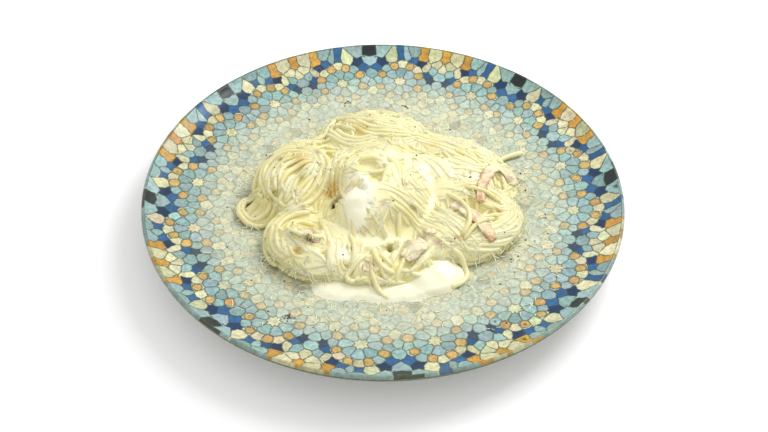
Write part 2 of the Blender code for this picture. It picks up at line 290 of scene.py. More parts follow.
def mosaic_seeds():
    """Middles, kinds and star marks of all tiles: one half sector's tiles are mirrored and
    turned eight times, and rings of plain tiles fill what is left."""
    middle = on_axis(ROSETTE_ANGLE, ROSETTE_REACH)
    half = [(kind, *(middle + on_axis(angle + ROSETTE_ANGLE, reach)), star)
            for kind, angle, reach, star in ROSETTE_TILES]
    half += [(kind, *on_axis(angle, reach), star) for kind, angle, reach, star in AXIS_TILES]
    half = np.array(half)
    copies = []
    for fold in range(PATTERN_FOLDS):
        turn = math.radians(PATTERN_TURN + fold * 360 / PATTERN_FOLDS)
        for side in (1, -1):
            x, y = half[:, 1], half[:, 2] * side
            copies.append(np.stack([
                half[:, 0], x * math.cos(turn) - y * math.sin(turn),
                x * math.sin(turn) + y * math.cos(turn), half[:, 3],
                np.arange(len(half))], 1))
    seeds = np.concatenate(copies)
    seeds = seeds[np.argsort(seeds[:, 4], kind="stable")][:, :4]
    rng = np.random.default_rng(5)
    fill = []
    for row, reach in enumerate(np.arange(3.0, 136.0, FILL_PITCH * 0.88)):
        count = max(PATTERN_FOLDS, PATTERN_FOLDS * round(2 * math.pi * reach / FILL_PITCH / PATTERN_FOLDS))
        angles = math.radians(PATTERN_TURN) + (np.arange(count) + 0.5 * (row % 2)) * 2 * math.pi / count
        weights = FILL_RIM if reach > 112 else (FILL_BORDER if reach > 96 else (
            FILL_BAND if reach > 84 else FILL_WELL))
        kinds = rng.choice((PALE, CREAM, SAND, MIST, BLUE), count, p=weights)
        fill.append(np.stack([kinds, reach * np.cos(angles), reach * np.sin(angles), 0 * angles], 1))
    seeds = np.concatenate([seeds, np.concatenate(fill)])
    kept = np.zeros(len(seeds), bool)
    plain = len(seeds) - sum(len(f) for f in fill)
    for index, seed in enumerate(seeds):
        gap = SEED_GAP if index < plain else FILL_GAP
        near = np.hypot(*(seeds[:index, 1:3] - seed[1:3]).T)[kept[:index]]
        inside = math.hypot(seed[1], seed[2]) < CREST / MM - 1.2
        kept[index] = inside and (not len(near) or near.min() > gap)
    seeds = seeds[kept]
    loose = np.where(seeds[:, 3] > 0, 0.15, 0.42)[:, None]
    seeds[:, 1:3] += rng.normal(0, 1, (len(seeds), 2)) * loose
    return seeds[:, 1:3] * MM, seeds[:, 0].astype(int), seeds[:, 3] > 0


def mosaic_fans(seeds, stars):
    """Splits the disc into the cells nearest each seed, as fans of triangles from the seed to
    each side of its cell; a star's sides are notched inwards. Returns owner and two corners."""
    reach = np.hypot(*seeds.T)
    edge = reach > CREST - 12 * MM
    ghosts = seeds[edge] * ((2 * CREST - reach[edge]) / reach[edge])[:, None]
    points = np.concatenate([seeds, ghosts])
    result = delaunay_2d_cdt([Vector(p) for p in points * 1000], [], [], 0, 1e-6)
    net = np.array([[v.x, v.y] for v in result[0]]) / 1000
    origin = np.array([ids[0] for ids in result[3]])
    triangles = np.array([tuple(f) for f in result[2]])
    a, b, c = (net[triangles[:, k]] for k in range(3))
    span = 2 * ((b - a)[:, 0] * (c - a)[:, 1] - (b - a)[:, 1] * (c - a)[:, 0])
    ab, ac = ((b - a) ** 2).sum(1), ((c - a) ** 2).sum(1)
    centres = a + np.stack([(c - a)[:, 1] * ab - (b - a)[:, 1] * ac,
                            (b - a)[:, 0] * ac - (c - a)[:, 0] * ab], 1) / span[:, None]
    start = triangles.ravel()
    end = np.roll(triangles, -1, 1).ravel()
    home = np.repeat(np.arange(len(triangles)), 3)
    total = len(net)
    order = np.argsort(start * total + end)
    keys = (start * total + end)[order]
    back = end * total + start
    found = np.clip(np.searchsorted(keys, back), 0, len(keys) - 1)
    paired = keys[found] == back
    owner, other = origin[start[paired]], origin[end[paired]]
    first_home, second_home = home[order[found[paired]]], home[paired]
    label = np.arange(len(centres))
    close = np.hypot(*(centres[first_home] - centres[second_home]).T) < 0.25 * MM
    for _ in range(6):
        lower = np.minimum(label[first_home[close]], label[second_home[close]])
        np.minimum.at(label, first_home[close], lower)
        np.minimum.at(label, second_home[close], lower)
    centres = centres[label]
    first, second = centres[first_home], centres[second_home]
    real = owner < len(seeds)
    owner, other, first, second = owner[real], other[real], first[real], second[real]
    starred = np.concatenate([stars, np.zeros(len(ghosts), bool)])
    notch = (starred[owner] != starred[other]) & (other < len(seeds))
    star_seed = points[np.where(starred[owner], owner, other)]
    middle = (first + second) / 2
    middle += STAR_NOTCH * (star_seed - middle)
    owners = np.concatenate([owner[~notch], owner[notch], owner[notch]])
    firsts = np.concatenate([first[~notch], first[notch], middle[notch]])
    seconds = np.concatenate([second[~notch], middle[notch], second[notch]])
    long_enough = np.hypot(*(firsts - seconds).T) > 0.01 * MM
    return owners[long_enough], firsts[long_enough], seconds[long_enough]


def make_plate(name, material):
    """The glazed face as mosaic fans split once more and lifted to the curve, closed by a
    lathe that turns the rim, the underside and the foot ring round the same edge points."""
    seeds, kinds, stars = mosaic_seeds()
    owners, firsts, seconds = mosaic_fans(seeds, stars)
    middles = seeds[owners]
    side = seconds - firsts
    lean = firsts - middles
    depth = np.abs(side[:, 0] * lean[:, 1] - side[:, 1] * lean[:, 0]) / np.hypot(*side.T)
    corners = np.stack([middles, firsts, seconds], 1)
    borders = np.stack([depth, 0 * depth, 0 * depth], 1)
    halves = (corners + np.roll(corners, -1, 1)) / 2
    half_borders = (borders + np.roll(borders, -1, 1)) / 2
    pieces = [(0, 3, 5), (3, 1, 4), (5, 4, 2), (3, 4, 5)]
    locals_ = corners - middles[:, None]
    six_locals = np.concatenate([locals_, (locals_ + np.roll(locals_, -1, 1)) / 2], 1)
    spot = np.concatenate([six_locals[:, p] for p in pieces]).reshape(-1, 2) / MM
    six = np.concatenate([corners, halves], 1)
    six_borders = np.concatenate([borders, half_borders], 1)
    flat = np.concatenate([six[:, p] for p in pieces]).reshape(-1, 2)
    border = np.concatenate([six_borders[:, p] for p in pieces]).ravel()
    tile = np.repeat(np.tile(owners, 4), 3)
    _, first_use, index = np.unique(
        np.round(flat / (0.0001 * MM)).astype(int), axis=0, return_index=True, return_inverse=True)
    index = index.reshape(-1, 3)
    plan = flat[first_use]
    reach = np.hypot(*plan.T)
    solid = (index[:, 0] != index[:, 1]) & (index[:, 1] != index[:, 2]) & (index[:, 0] != index[:, 2])
    index, keep = index[solid], np.repeat(solid, 3)
    border, tile, spot = border[keep], tile[keep], spot[keep]
    sides = np.concatenate([index[:, [0, 1]], index[:, [1, 2]], index[:, [2, 0]]])
    names = np.sort(sides, 1) @ np.array([len(plan), 1])
    unique, counts = np.unique(names, return_counts=True)
    rim = np.unique(sides[np.isin(names, unique[counts == 1])])
    plan[rim] *= (CREST / reach[rim])[:, None]
    rim = rim[np.argsort(np.arctan2(plan[rim, 1], plan[rim, 0]))]
    angle = np.arctan2(plan[rim, 1], plan[rim, 0])
    top = np.concatenate([plan, plate_top(np.hypot(*plan.T))[:, None]], 1)

    swing = np.linspace(0, math.pi, 9)[1:]
    bend = RIM_THICKNESS / 2
    under = np.linspace(CREST - bend * 0.4, FOOT_OUTER + FOOT_SIDE_SLOPE, 16)[1:]
    profile = [(CREST + bend * math.sin(s), PLATE_HEIGHT - bend + bend * math.cos(s)) for s in swing[:-1]]
    profile += [(r, plate_top(r) - PLATE_THICKNESS + 0.6 * MM * (r / CREST) ** 8) for r in under]
    profile += [(FOOT_OUTER + 0.6 * MM, 0.7 * MM), (FOOT_OUTER, 0.0), (FOOT_INNER, 0.0),
                (FOOT_INNER - 0.6 * MM, 0.7 * MM), (FOOT_INNER - 2.2 * MM, RECESS_HEIGHT)]
    profile += [(r, RECESS_HEIGHT) for r in (60 * MM, 40 * MM, 20 * MM)]
    radius, level = np.array(profile).T
    rings = np.stack([radius[:, None] * np.cos(angle), radius[:, None] * np.sin(angle),
                      level[:, None] + 0 * angle], 2).reshape(-1, 3)
    count, total = len(rim), len(top)
    grid = np.concatenate([rim[None], total + np.arange(len(profile) * count).reshape(-1, count)])
    quads = np.stack([grid[:-1], grid[1:], np.roll(grid[1:], -1, 1), np.roll(grid[:-1], -1, 1)], 2)
    quads = quads.reshape(-1, 4)
    pole = total + len(rings)
    cap = np.stack([grid[-1], np.full(count, pole), np.roll(grid[-1], -1)], 1)
    points = np.concatenate([top, rings, [[0, 0, RECESS_HEIGHT]]])

    rng = np.random.default_rng(11)
    tints = TILE_PAINTS[kinds] * (1 + rng.normal(0, 0.10, (len(seeds), 1)))
    tints = np.clip(tints * (1 + rng.normal(0, 0.035, (len(seeds), 3))), 0, 1)
    faded = np.clip((116 * MM - np.hypot(*seeds.T)) / (17 * MM), 0, 1)[:, None] * 0.66
    wash = np.array(paint(206, 208, 180))
    tints = tints * (1 - faded) + wash * faded
    strength = 1 - 0.72 * np.clip((116 * MM - np.hypot(*seeds.T)) / (26 * MM), 0, 1)
    body_loops = len(quads) * 4 + len(cap) * 3
    nearest = np.hypot(plan[rim, None, 0] - seeds[:, 0], plan[rim, None, 1] - seeds[:, 1]).argmin(1)
    body = np.tile(paint(104, 110, 82), (body_loops, 1))
    lip = np.tile(0.6 * tints[nearest] + 0.4 * body[0], (LIP_ROWS, 1))
    body[:LIP_ROWS * count * 4] = np.repeat(lip, 4, 0)
    colour = np.concatenate([tints[tile], body])
    line = np.concatenate([strength[tile], np.ones(body_loops)])
    border = np.concatenate([border / MM, np.full(body_loops, 3.0)])
    discs = np.where(np.isin(kinds, (OCHRE, SAND)), DISC_RADIUS * rng.uniform(0.85, 1.1, len(kinds)), 0)
    spots = np.concatenate([np.concatenate([spot, discs[tile][:, None]], 1), np.zeros((body_loops, 3))])
    made = build_mesh(name, points, [index, quads, cap], material, None, {
        "tile_colour": colour, "tile_border": border, "line_strength": line, "tile_spot": spots})
    step = 0.05 * MM
    reach = np.hypot(top[:, 0], top[:, 1])
    slope = (plate_top(reach + step) - plate_top(np.maximum(reach - step, 0))) / (2 * step)
    outward = top[:, :2] / np.maximum(reach, 1e-9)[:, None]
    normals = np.concatenate([-outward * slope[:, None], np.ones((len(top), 1))], 1)
    normals /= np.linalg.norm(normals, axis=1)[:, None]
    normals[rim] = 0
    normals = np.concatenate([normals, np.zeros((len(points) - len(top), 3))])
    made.data.normals_split_custom_set_from_vertices(normals.tolist())
    return made


LINE_WIDTH = 0.5
BLOOM_GAIN = (1.16, 1.14, 1.10)
plate_glaze, tree, shader = start_finish("glazed_plate")
where = place_of(tree)
tile_colour = stored(tree, "tile_colour", "Color")
tile_border = stored(tree, "tile_border")
line_strength = stored(tree, "line_strength")
spot = stored(tree, "tile_spot", "Vector")
parts = add(tree, "ShaderNodeSeparateXYZ", {0: spot})
flat_spot = add(tree, "ShaderNodeCombineXYZ", {0: parts.outputs[0], 1: parts.outputs[1]}).outputs[0]
from_middle = add(tree, "ShaderNodeVectorMath", {0: flat_spot}, operation="LENGTH").outputs["Value"]
past_disc = maths(tree, "SUBTRACT", from_middle, parts.outputs[2])
is_disc = maths(tree, "GREATER_THAN", parts.outputs[2], 0.5)
outside = maths(tree, "GREATER_THAN", past_disc, 0.0)
outside = maths(tree, "MULTIPLY", outside, is_disc)
tile_colour = mixed(tree, outside, tile_colour, paint(190, 200, 180))
disc_edge = maths(tree, "ABSOLUTE", past_disc)
disc_edge = add(tree, "ShaderNodeMix", {0: is_disc, 2: 9.0, 3: disc_edge}).outputs[0]
tile_border = maths(tree, "MINIMUM", tile_border, disc_edge)
wash = cloudy(tree, where, 420.0, 4.0, 0.62)
bloom = ranged(tree, wash, 0.36, 0.66)
washed = mixed(tree, bloom, mixed(tree, 0.30, tile_colour, paint(70, 96, 110), "MULTIPLY"),
               mixed(tree, 1.0, tile_colour, BLOOM_GAIN, "MULTIPLY"))
worn = maths(tree, "SUBTRACT", 1.0, line_strength)
broad = ranged(tree, cloudy(tree, where, 60.0, 2.0), 0.4, 0.62, 0.0, 0.5)
washed = mixed(tree, maths(tree, "MULTIPLY", broad, worn),
               washed, paint(214, 214, 184))
shaky = cloudy(tree, where, 900.0, 2.0)
wide = ranged(tree, shaky, 0.3, 0.75, LINE_WIDTH * 0.25, LINE_WIDTH * 1.5)
inked = maths(tree, "DIVIDE", tile_border, wide)
inked = ranged(tree, inked, 0.55, 1.25, 1.0, 0.0)
inked = maths(tree, "MULTIPLY", inked, line_strength)
inked = maths(tree, "MULTIPLY", inked, 0.78)
join(tree, mixed(tree, inked, washed, paint(54, 66, 50)), shader.inputs["Base Color"])
join(tree, ranged(tree, cloudy(tree, where, 160.0), 0.3, 0.7, 0.28, 0.42), shader.inputs["Roughness"])
shader.inputs["Specular IOR Level"].default_value = 0.3
shader.inputs["Coat Weight"].default_value = 0.1
shader.inputs["Coat Roughness"].default_value = 0.22
relief(tree, cloudy(tree, where, 300.0, 2.0), 0.0002, 0.25, shader)
plate = make_plate("mosaic_plate", plate_glaze)
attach(plate, "root")
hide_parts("plate")

# --- Spaghetti -----------------------------------------------------------------------------
# Boiled spaghetti about three millimetres thick, tossed in cream and dropped in loose coils:
# long loops on the left, a rounded crown in the middle and a finer tangle on the right.
NOODLE_RADIUS = 1.5 * MM
NOODLE_SIDES = 8
NOODLE_STEP = 1.7 * MM
LAY_STEP = 0.5 * MM
PILE_CELL = 0.5 * MM
PILE_REACH = 100.0 * MM
HEAP_LUMPS = (  # x, y, half length, half width, height over the plate, turn
    (-48, 10, 37, 30, 23.0, 80), (-43, -40, 30, 22, 16.5, -50), (-68, -12, 17, 10, 7.0, 10),
    (-6, -6, 36, 38, 32.5, 20), (-6, 42, 40, 31, 24.5, 0), (34, 16, 48, 35, 23.5, -18),
    (45, -24, 38, 28, 16.5, 20), (-4, -46, 44, 24, 13.0, 0))
HEAP_BLEND = 3.2
HEAP_MIDDLE = (0.0, -6.0 * MM)
EDGE_STRANDS = 90  # tried; those that would fill the open loop at the left are left out
LOOP_PLACE = (-76.0, -10.0)
LOOP_CLEAR = 14.0 * MM
FOOT_DRAWN_IN = 1.0 * MM
LAID_SWELL = 1.06
TANGLE_SHARE = 0.9
TANGLE_SKIN = 0.86
HEAP_ROUNDING = 0.55
BED_DEPTH = 6.0 * MM
HEAP_HOLLOW = (-29, -12, 8, 11, 11.0)
GAP = 0.3 * MM
END_DIVE = 2.2 * MM
END_REACH = 9.0 * MM
noodle_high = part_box("spaghetti")[1]
CEILING = noodle_high.z - 0.35 * MM

pile_axis = np.arange(-PILE_REACH, PILE_REACH + PILE_CELL / 2, PILE_CELL)
pile_x, pile_y = np.meshgrid(pile_axis, pile_axis)
plate_floor = plate_top(np.hypot(pile_x, pile_y)) + GAP


def lump_shares(x, y, lumps):
    """Squared distance from each lump's middle, 1 on its outline, for turned ellipses."""
    table = np.array(lumps, float)
    turn = np.radians(table[:, 5])
    dx, dy = x[..., None] - table[:, 0] * MM, y[..., None] - table[:, 1] * MM
    along = (dx * np.cos(turn) + dy * np.sin(turn)) / (table[:, 2] * MM)
    across = (-dx * np.sin(turn) + dy * np.cos(turn)) / (table[:, 3] * MM)
    return along ** 2 + across ** 2


def lump_rise(x, y, lumps, blend, rounding):
    """Height of blended domes: each dome is its height times (1 - share) to a power, and the
    domes are joined by a high-power mean so that they meet without creases."""
    heights = np.array(lumps, float)[:, 4] * MM
    domes = heights * np.clip(1 - lump_shares(x, y, lumps), 0, 1) ** rounding
    return (domes ** blend).sum(-1) ** (1 / blend)


def soften(field, reach):
    """A field blurred by a bell curve of that reach, through its frequencies."""
    waves = np.fft.fftfreq(len(field), PILE_CELL)
    bell = np.exp(-2 * (math.pi * reach * waves) ** 2)
    return np.fft.ifft2(np.fft.fft2(field) * bell[:, None] * bell[None]).real


def at(field, x, y):
    """Values of a field at points, bilinear between its cells."""
    u = np.clip((x + PILE_REACH) / PILE_CELL, 0, len(pile_axis) - 1.001)
    v = np.clip((y + PILE_REACH) / PILE_CELL, 0, len(pile_axis) - 1.001)
    i, j = u.astype(int), v.astype(int)
    du, dv = u - i, v - j
    return ((field[j, i] * (1 - du) + field[j, i + 1] * du) * (1 - dv)
            + (field[j + 1, i] * (1 - du) + field[j + 1, i + 1] * du) * dv)


heap_rise = lump_rise(pile_x, pile_y, HEAP_LUMPS, HEAP_BLEND, HEAP_ROUNDING)
hollow_x, hollow_y, hollow_wide, hollow_long, hollow_deep = (v * MM for v in HEAP_HOLLOW)
hollow = hollow_deep * np.exp(-((pile_x - hollow_x) / hollow_wide) ** 2
                              - ((pile_y - hollow_y) / hollow_long) ** 2)
heap_skin = plate_floor + soften(np.maximum(heap_rise - hollow, 0), 0.8 * MM)
bed = np.maximum(plate_floor, heap_skin - BED_DEPTH)
pile = bed.copy()


def smooth_line(values, reach):
    """Rows of values blurred along their length by a bell curve, with the ends held."""
    half = max(1, int(3 * reach))
    bell = np.exp(-0.5 * (np.arange(-half, half + 1) / reach) ** 2)
    bell /= bell.sum()
    padded = np.pad(values, ((half, half),) + ((0, 0),) * (values.ndim - 1), mode="edge")
    if values.ndim == 1:
        return np.convolve(padded, bell, "valid")
    return np.stack([np.convolve(padded[:, k], bell, "valid") for k in range(values.shape[1])], 1)


def even_route(route, step):
    """A route with its points spaced evenly along its length."""
    gaps = np.hypot(*np.diff(route, axis=0).T)
    along = np.concatenate([[0], np.cumsum(gaps)])
    marks = np.linspace(0, along[-1], max(6, int(along[-1] / step)))
    return np.stack([np.interp(marks, along, route[:, k]) for k in range(route.shape[1])], 1)


def drawn_route(points, bend=5.0):
    """A smooth route through a few points given in millimetres."""
    route = even_route(np.array(points, float) * MM, LAY_STEP)
    return even_route(smooth_line(route, bend), LAY_STEP)


def coil_route(rng, coil):
    """Part of a turn round a coil: a turned ellipse shrunk to a random share, drifting inwards
    or outwards, with two slow waves added to its radius."""
    x, y, length, width, turn, inner, outer, sweep, wave = coil
    share = rng.uniform(inner, outer)
    drift = rng.uniform(-0.16, 0.16)
    begin = rng.uniform(0, 2 * math.pi)
    angle = begin + np.linspace(0, math.radians(sweep * rng.uniform(0.6, 1.2)), 160)
    part = np.linspace(-0.5, 0.5, 160)
    radius = np.clip(share + drift * part, 0.12, 1.02)
    phases = rng.uniform(0, 2 * math.pi, 2)
    ripple = wave * (np.sin(2 * angle + phases[0]) + 0.6 * np.sin(3.3 * angle + phases[1]))
    px = (length * radius + ripple) * np.cos(angle)
    py = (width * radius + ripple) * np.sin(angle)
    tilt = math.radians(turn)
    shift = rng.normal(0, 4.0, 2)
    route = np.stack([x + shift[0] + px * math.cos(tilt) - py * math.sin(tilt),
                      y + shift[1] + px * math.sin(tilt) + py * math.cos(tilt)], 1)
    return even_route(route * MM, LAY_STEP)


def tangle_route(rng, tangle):
    """A loose wandering strand: its heading starts near the tangle's own and turns slowly."""
    x, y, reach_x, reach_y, heading, spread, length, curl = tangle
    angle, share = rng.uniform(0, 2 * math.pi), math.sqrt(rng.uniform(0, 1))
    start = np.array([x + reach_x * share * math.cos(angle), y + reach_y * share * math.sin(angle)])
    count = max(20, int(length * rng.uniform(0.6, 1.25) / 0.5))
    bends = np.cumsum(rng.normal(0, 1, count))
    bends = smooth_line(bends - bends.mean(), 14.0) * curl
    facing = math.radians(heading + rng.normal(0, spread)) + bends + rng.choice((0, math.pi))
    path = np.stack([np.cumsum(np.cos(facing)), np.cumsum(np.sin(facing))], 1) * 0.5
    return (start + path - path.mean(0)) * MM


def outline_reach(angle, lumps, middle, steps):
    """Distance from a middle to the outline of some lumps in each direction: the last of the
    steps outwards that still lies inside any of them."""
    px, py = middle[0] + steps * np.cos(angle), middle[1] + steps * np.sin(angle)
    inside = (lump_shares(px, py, lumps) < 1).any(-1)
    return steps[len(steps) - 1 - inside[::-1].argmax(0), 0]


def heap_reach(angle):
    """Distance from the heap's middle to its foot: its outline smoothed and drawn in a little."""
    ring = outline_reach(angle, HEAP_LUMPS, HEAP_MIDDLE, np.linspace(20, 110, 361)[:, None] * MM)
    return smooth_line(ring, 1.2) - FOOT_DRAWN_IN


def edge_route(rng):
    """A strand that follows the foot of the heap: part of a turn at a slowly waving share of
    the outline's own distance."""
    begin, sweep = rng.uniform(0, 2 * math.pi), rng.uniform(0.35, 0.95)
    angle = begin + np.linspace(0, sweep, 90)
    share = rng.uniform(0.86, 0.985) + 0.09 * np.sin(5.0 * (angle - begin) + rng.uniform(0, 6))
    reach = heap_reach(angle) * np.minimum(share, 0.99)
    route = np.stack([reach * np.cos(angle), HEAP_MIDDLE[1] + reach * np.sin(angle)], 1)
    return even_route(smooth_line(route, 2.0), LAY_STEP)


def heading_of(route):
    """Unit direction of a route at each of its points."""
    heading = np.gradient(route, axis=0)
    return heading / np.maximum(np.hypot(*heading.T), 1e-9)[:, None]


def end_dive(count, power):
    """How far a strand sinks at its ends: a power of the share of the end reach left."""
    ends = np.minimum(np.arange(count), np.arange(count)[::-1]) * LAY_STEP
    return END_DIVE * np.clip(1 - ends / END_REACH, 0, 1) ** power


def raise_pile(px, py, level):
    """Lifts the pile to the given heights in the cells nearest to the points."""
    last = len(pile_axis) - 1
    i, j = (np.clip(np.rint((p + PILE_REACH) / PILE_CELL).astype(int), 0, last) for p in (px, py))
    np.maximum.at(pile, (j, i), level)


def shifted_route(route, aside, rng):
    """The same route moved sideways, a little more or less along its length, and trimmed."""
    heading = heading_of(route)
    part = np.linspace(0, 1, len(route))
    sway = aside * (1 + 0.35 * np.sin(2 * math.pi * part + rng.uniform(0, 6)))
    moved = route + np.stack([-heading[:, 1] * sway, heading[:, 0] * sway], 1)
    first, last = rng.integers(0, len(route) // 7), len(route) - rng.integers(0, len(route) // 7)
    return even_route(smooth_line(moved, 4.0)[first:last], LAY_STEP)


def inside_heap(route):
    """The longest run of a route that lies inside the heap's outline."""
    within = at(heap_rise, route[:, 0], route[:, 1]) > 0.4 * MM
    marks = np.flatnonzero(np.diff(np.concatenate([[0], within.astype(int), [0]])))
    if not len(marks):
        return route[:0]
    starts, ends = marks[::2], marks[1::2]
    best = (ends - starts).argmax()
    return route[starts[best]:ends[best]]


def lay_noodle(route, radius, sink=0.35 * MM, slack=1.0 * MM, stiff=3):
    """Lets a noodle down on the pile: each point rises until its round section clears what is
    below, short dips are bridged, and the pile then gains the noodle's own upper side."""
    heading = heading_of(route)
    offsets = np.linspace(-0.92, 0.92, 7) * radius
    px = route[:, 0, None] - heading[:, 1, None] * offsets
    py = route[:, 1, None] + heading[:, 0, None] * offsets
    crown = np.sqrt(radius ** 2 - offsets ** 2)
    level = (at(pile, px, py) + crown).max(1) - sink
    for _ in range(stiff):
        level = np.maximum(level, smooth_line(level, 5.0))
    level = smooth_line(level, 3.0)
    level = level - end_dive(len(level), 2)
    skin = at(heap_skin, route[:, 0], route[:, 1])
    level = np.minimum(level, skin + slack - radius * 0.4)
    floor = at(plate_floor, route[:, 0], route[:, 1]) + radius
    level = smooth_line(np.clip(level, floor, CEILING - radius), 2.0)
    level = np.clip(level, floor, CEILING - radius)
    raise_pile(px, py, level[:, None] + crown)
    return np.concatenate([route, level[:, None]], 1)


def noodle_skins(lines, radius, sides, step, rng):
    """Round tubes along many lines: each line is respaced, given rings square to it with a
    slightly changing radius, and closed by rounded ends. Returns points, faces and a tone."""
    points, quads, caps, tones, total = [], [], [], [], 0
    turn = np.linspace(0, 2 * math.pi, sides, endpoint=False)
    for line in lines:
        spine = even_route(line, step)
        count = len(spine)
        heading = np.gradient(spine, axis=0)
        heading /= np.linalg.norm(heading, axis=1)[:, None]
        side = np.cross(heading, (0, 0, 1.0))
        side /= np.maximum(np.linalg.norm(side, axis=1), 1e-6)[:, None]
        up = np.cross(side, heading)
        along = np.arange(count)
        thick = radius * (1 + 0.07 * np.sin(along * 0.35 + rng.uniform(0, 6)) + rng.normal(0, 0.04))
        thick[[0, -1]] *= 0.72
        ring = (spine[:, None] + thick[:, None, None] * (
            np.cos(turn)[None, :, None] * side[:, None] + np.sin(turn)[None, :, None] * up[:, None]))
        tips = spine[[0, -1]] + heading[[0, -1]] * np.array([[-0.4], [0.4]]) * radius
        points.append(np.concatenate([ring.reshape(-1, 3), tips]))
        grid = total + np.arange(count * sides).reshape(count, sides)
        after = np.roll(grid, -1, 1)
        quads.append(np.stack([grid[:-1], after[:-1], after[1:], grid[1:]], 2).reshape(-1, 4))
        head, tail = total + count * sides, total + count * sides + 1
        caps.append(np.stack([np.full(sides, head), after[0], grid[0]], 1))
        caps.append(np.stack([np.full(sides, tail), grid[-1], after[-1]], 1))
        tones.append(np.full(count * sides + 2, rng.uniform(0, 1)))
        total += count * sides + 2
    return np.concatenate(points), [np.concatenate(quads), np.concatenate(caps)], np.concatenate(tones)


# x, y, half length, half width, turn, inner share, outer share, sweep, wave, how many
COILS = (
    (-6, 44, 34, 25, 0, 0.15, 1.0, 110, 4.4, 24),
    (36, 16, 40, 29, -18, 0.15, 1.0, 110, 4.6, 30),
    (-46, 10, 31, 24, 80, 0.15, 1.0, 130, 3.6, 20),
    (-43, -40, 25, 17, -50, 0.2, 1.0, 130, 3.0, 12),
    (-4, -6, 31, 33, 20, 0.15, 1.0, 120, 4.4, 22),
    (47, -24, 32, 22, 20, 0.15, 1.0, 110, 4.0, 18))
# x, y, reach x, reach y, heading, spread, length, curl, how many
TANGLES = (
    (40, 18, 36, 26, -20, 50, 44, 0.09, 56), (46, -22, 30, 20, -30, 40, 44, 0.07, 40),
    (2, 44, 38, 24, 10, 70, 44, 0.10, 46), (4, -34, 34, 18, -45, 45, 40, 0.08, 38),
    (-30, -52, 24, 12, -20, 50, 36, 0.07, 24), (-6, -4, 28, 26, 40, 60, 46, 0.09, 36),
    (-46, 12, 26, 24, 60, 50, 46, 0.06, 22), (54, -36, 20, 9, -40, 30, 34, 0.05, 18),
    (6, -52, 32, 7, -50, 40, 26, 0.05, 16))
# strands with routes of their own, in millimetres from the plate's middle, each with how
# many more lie beside it
LEFT_STRANDS = (
    (2, ((-34, 18), (-46, 24), (-58, 24), (-67, 20), (-72, 12), (-72, 0), (-67, -10))),
    (1, ((-60, 12), (-66, 4), (-67, -6), (-64, -14), (-68, -19), (-76, -20), (-82, -14),
         (-83, -6), (-80, -1), (-73, -4), (-70, -10))),
    (2, ((-38, 14), (-50, 16), (-60, 12), (-65, 4), (-63, -6), (-57, -14), (-50, -17))),
    (3, ((-62, -24), (-54, -21), (-44, -13), (-38, -3), (-35, 8), (-38, 20), (-48, 28))),
    (2, ((-36, 12), (-46, 6), (-54, -2), (-58, -12), (-62, -18))),
    (1, ((-34, 4), (-43, 4), (-50, -3), (-53, -12), (-48, -19))),
    (2, ((-34, -20), (-45, -20), (-55, -24), (-62, -31), (-63, -41), (-60, -50), (-52, -57))),
    (1, ((-36, -28), (-45, -29), (-53, -33), (-54, -42), (-49, -47), (-40, -56))),
    (0, ((-54, -38), (-50, -47), (-41, -53), (-32, -58), (-26, -66))),
    (2, ((-34, -26), (-28, -36), (-25, -47), (-26, -58), (-22, -66))),
    (2, ((-30, -8), (-33, -18), (-33, -30), (-29, -42), (-25, -52))))
CROWN_STRANDS = (
    (2, ((-23, 10), (-27, -2), (-25, -16), (-21, -28), (-19, -40), (-19, -52), (-15, -62))),
    (2, ((-28, 12), (-20, 22), (-8, 24), (4, 18), (10, 6))),
    (2, ((-22, -2), (-16, 8), (-5, 11), (5, 5), (10, -6), (8, -18))),
    (1, ((-15, -44), (-14, -54), (-16, -61), (-21, -66))),
    (1, ((-6, -48), (-3, -58), (1, -63), (7, -64))),
    (1, ((-10, -22), (0, -19), (9, -20), (16, -24))),
    (3, ((2, -22), (14, -26), (26, -33), (37, -41), (47, -48))),
    (3, ((12, -16), (24, -21), (36, -30), (46, -40), (53, -48))),
    (2, ((14, -4), (24, -12), (33, -24), (42, -36))))
RIGHT_STRANDS = (
    (0, ((46, 20), (56, 24), (66, 31), (76, 38), (87, 41))),
    (2, ((36, 12), (46, 9), (57, 7), (67, 12))),
    (2, ((58, -6), (67, -8), (74, -14), (74, -23), (66, -32))),
    (1, ((56, -16), (66, -21), (75, -18), (79, -9), (76, 0))),
    (3, ((18, 34), (32, 28), (46, 20), (58, 12))),
    (3, ((-22, 50), (-10, 40), (4, 36), (18, 36))),
    (2, ((-30, 60), (-16, 54), (-4, 48), (10, 46), (24, 40))),
    (2, ((-34, 46), (-26, 34), (-16, 30), (-2, 32))),
    (2, ((8, 24), (20, 18), (32, 10), (40, -2))))

GOLD, OLIVE, BROWN = paint(206, 166, 62), paint(140, 134, 58), paint(136, 92, 46)
ROSE, SHADE = paint(196, 150, 138), paint(116, 94, 42)
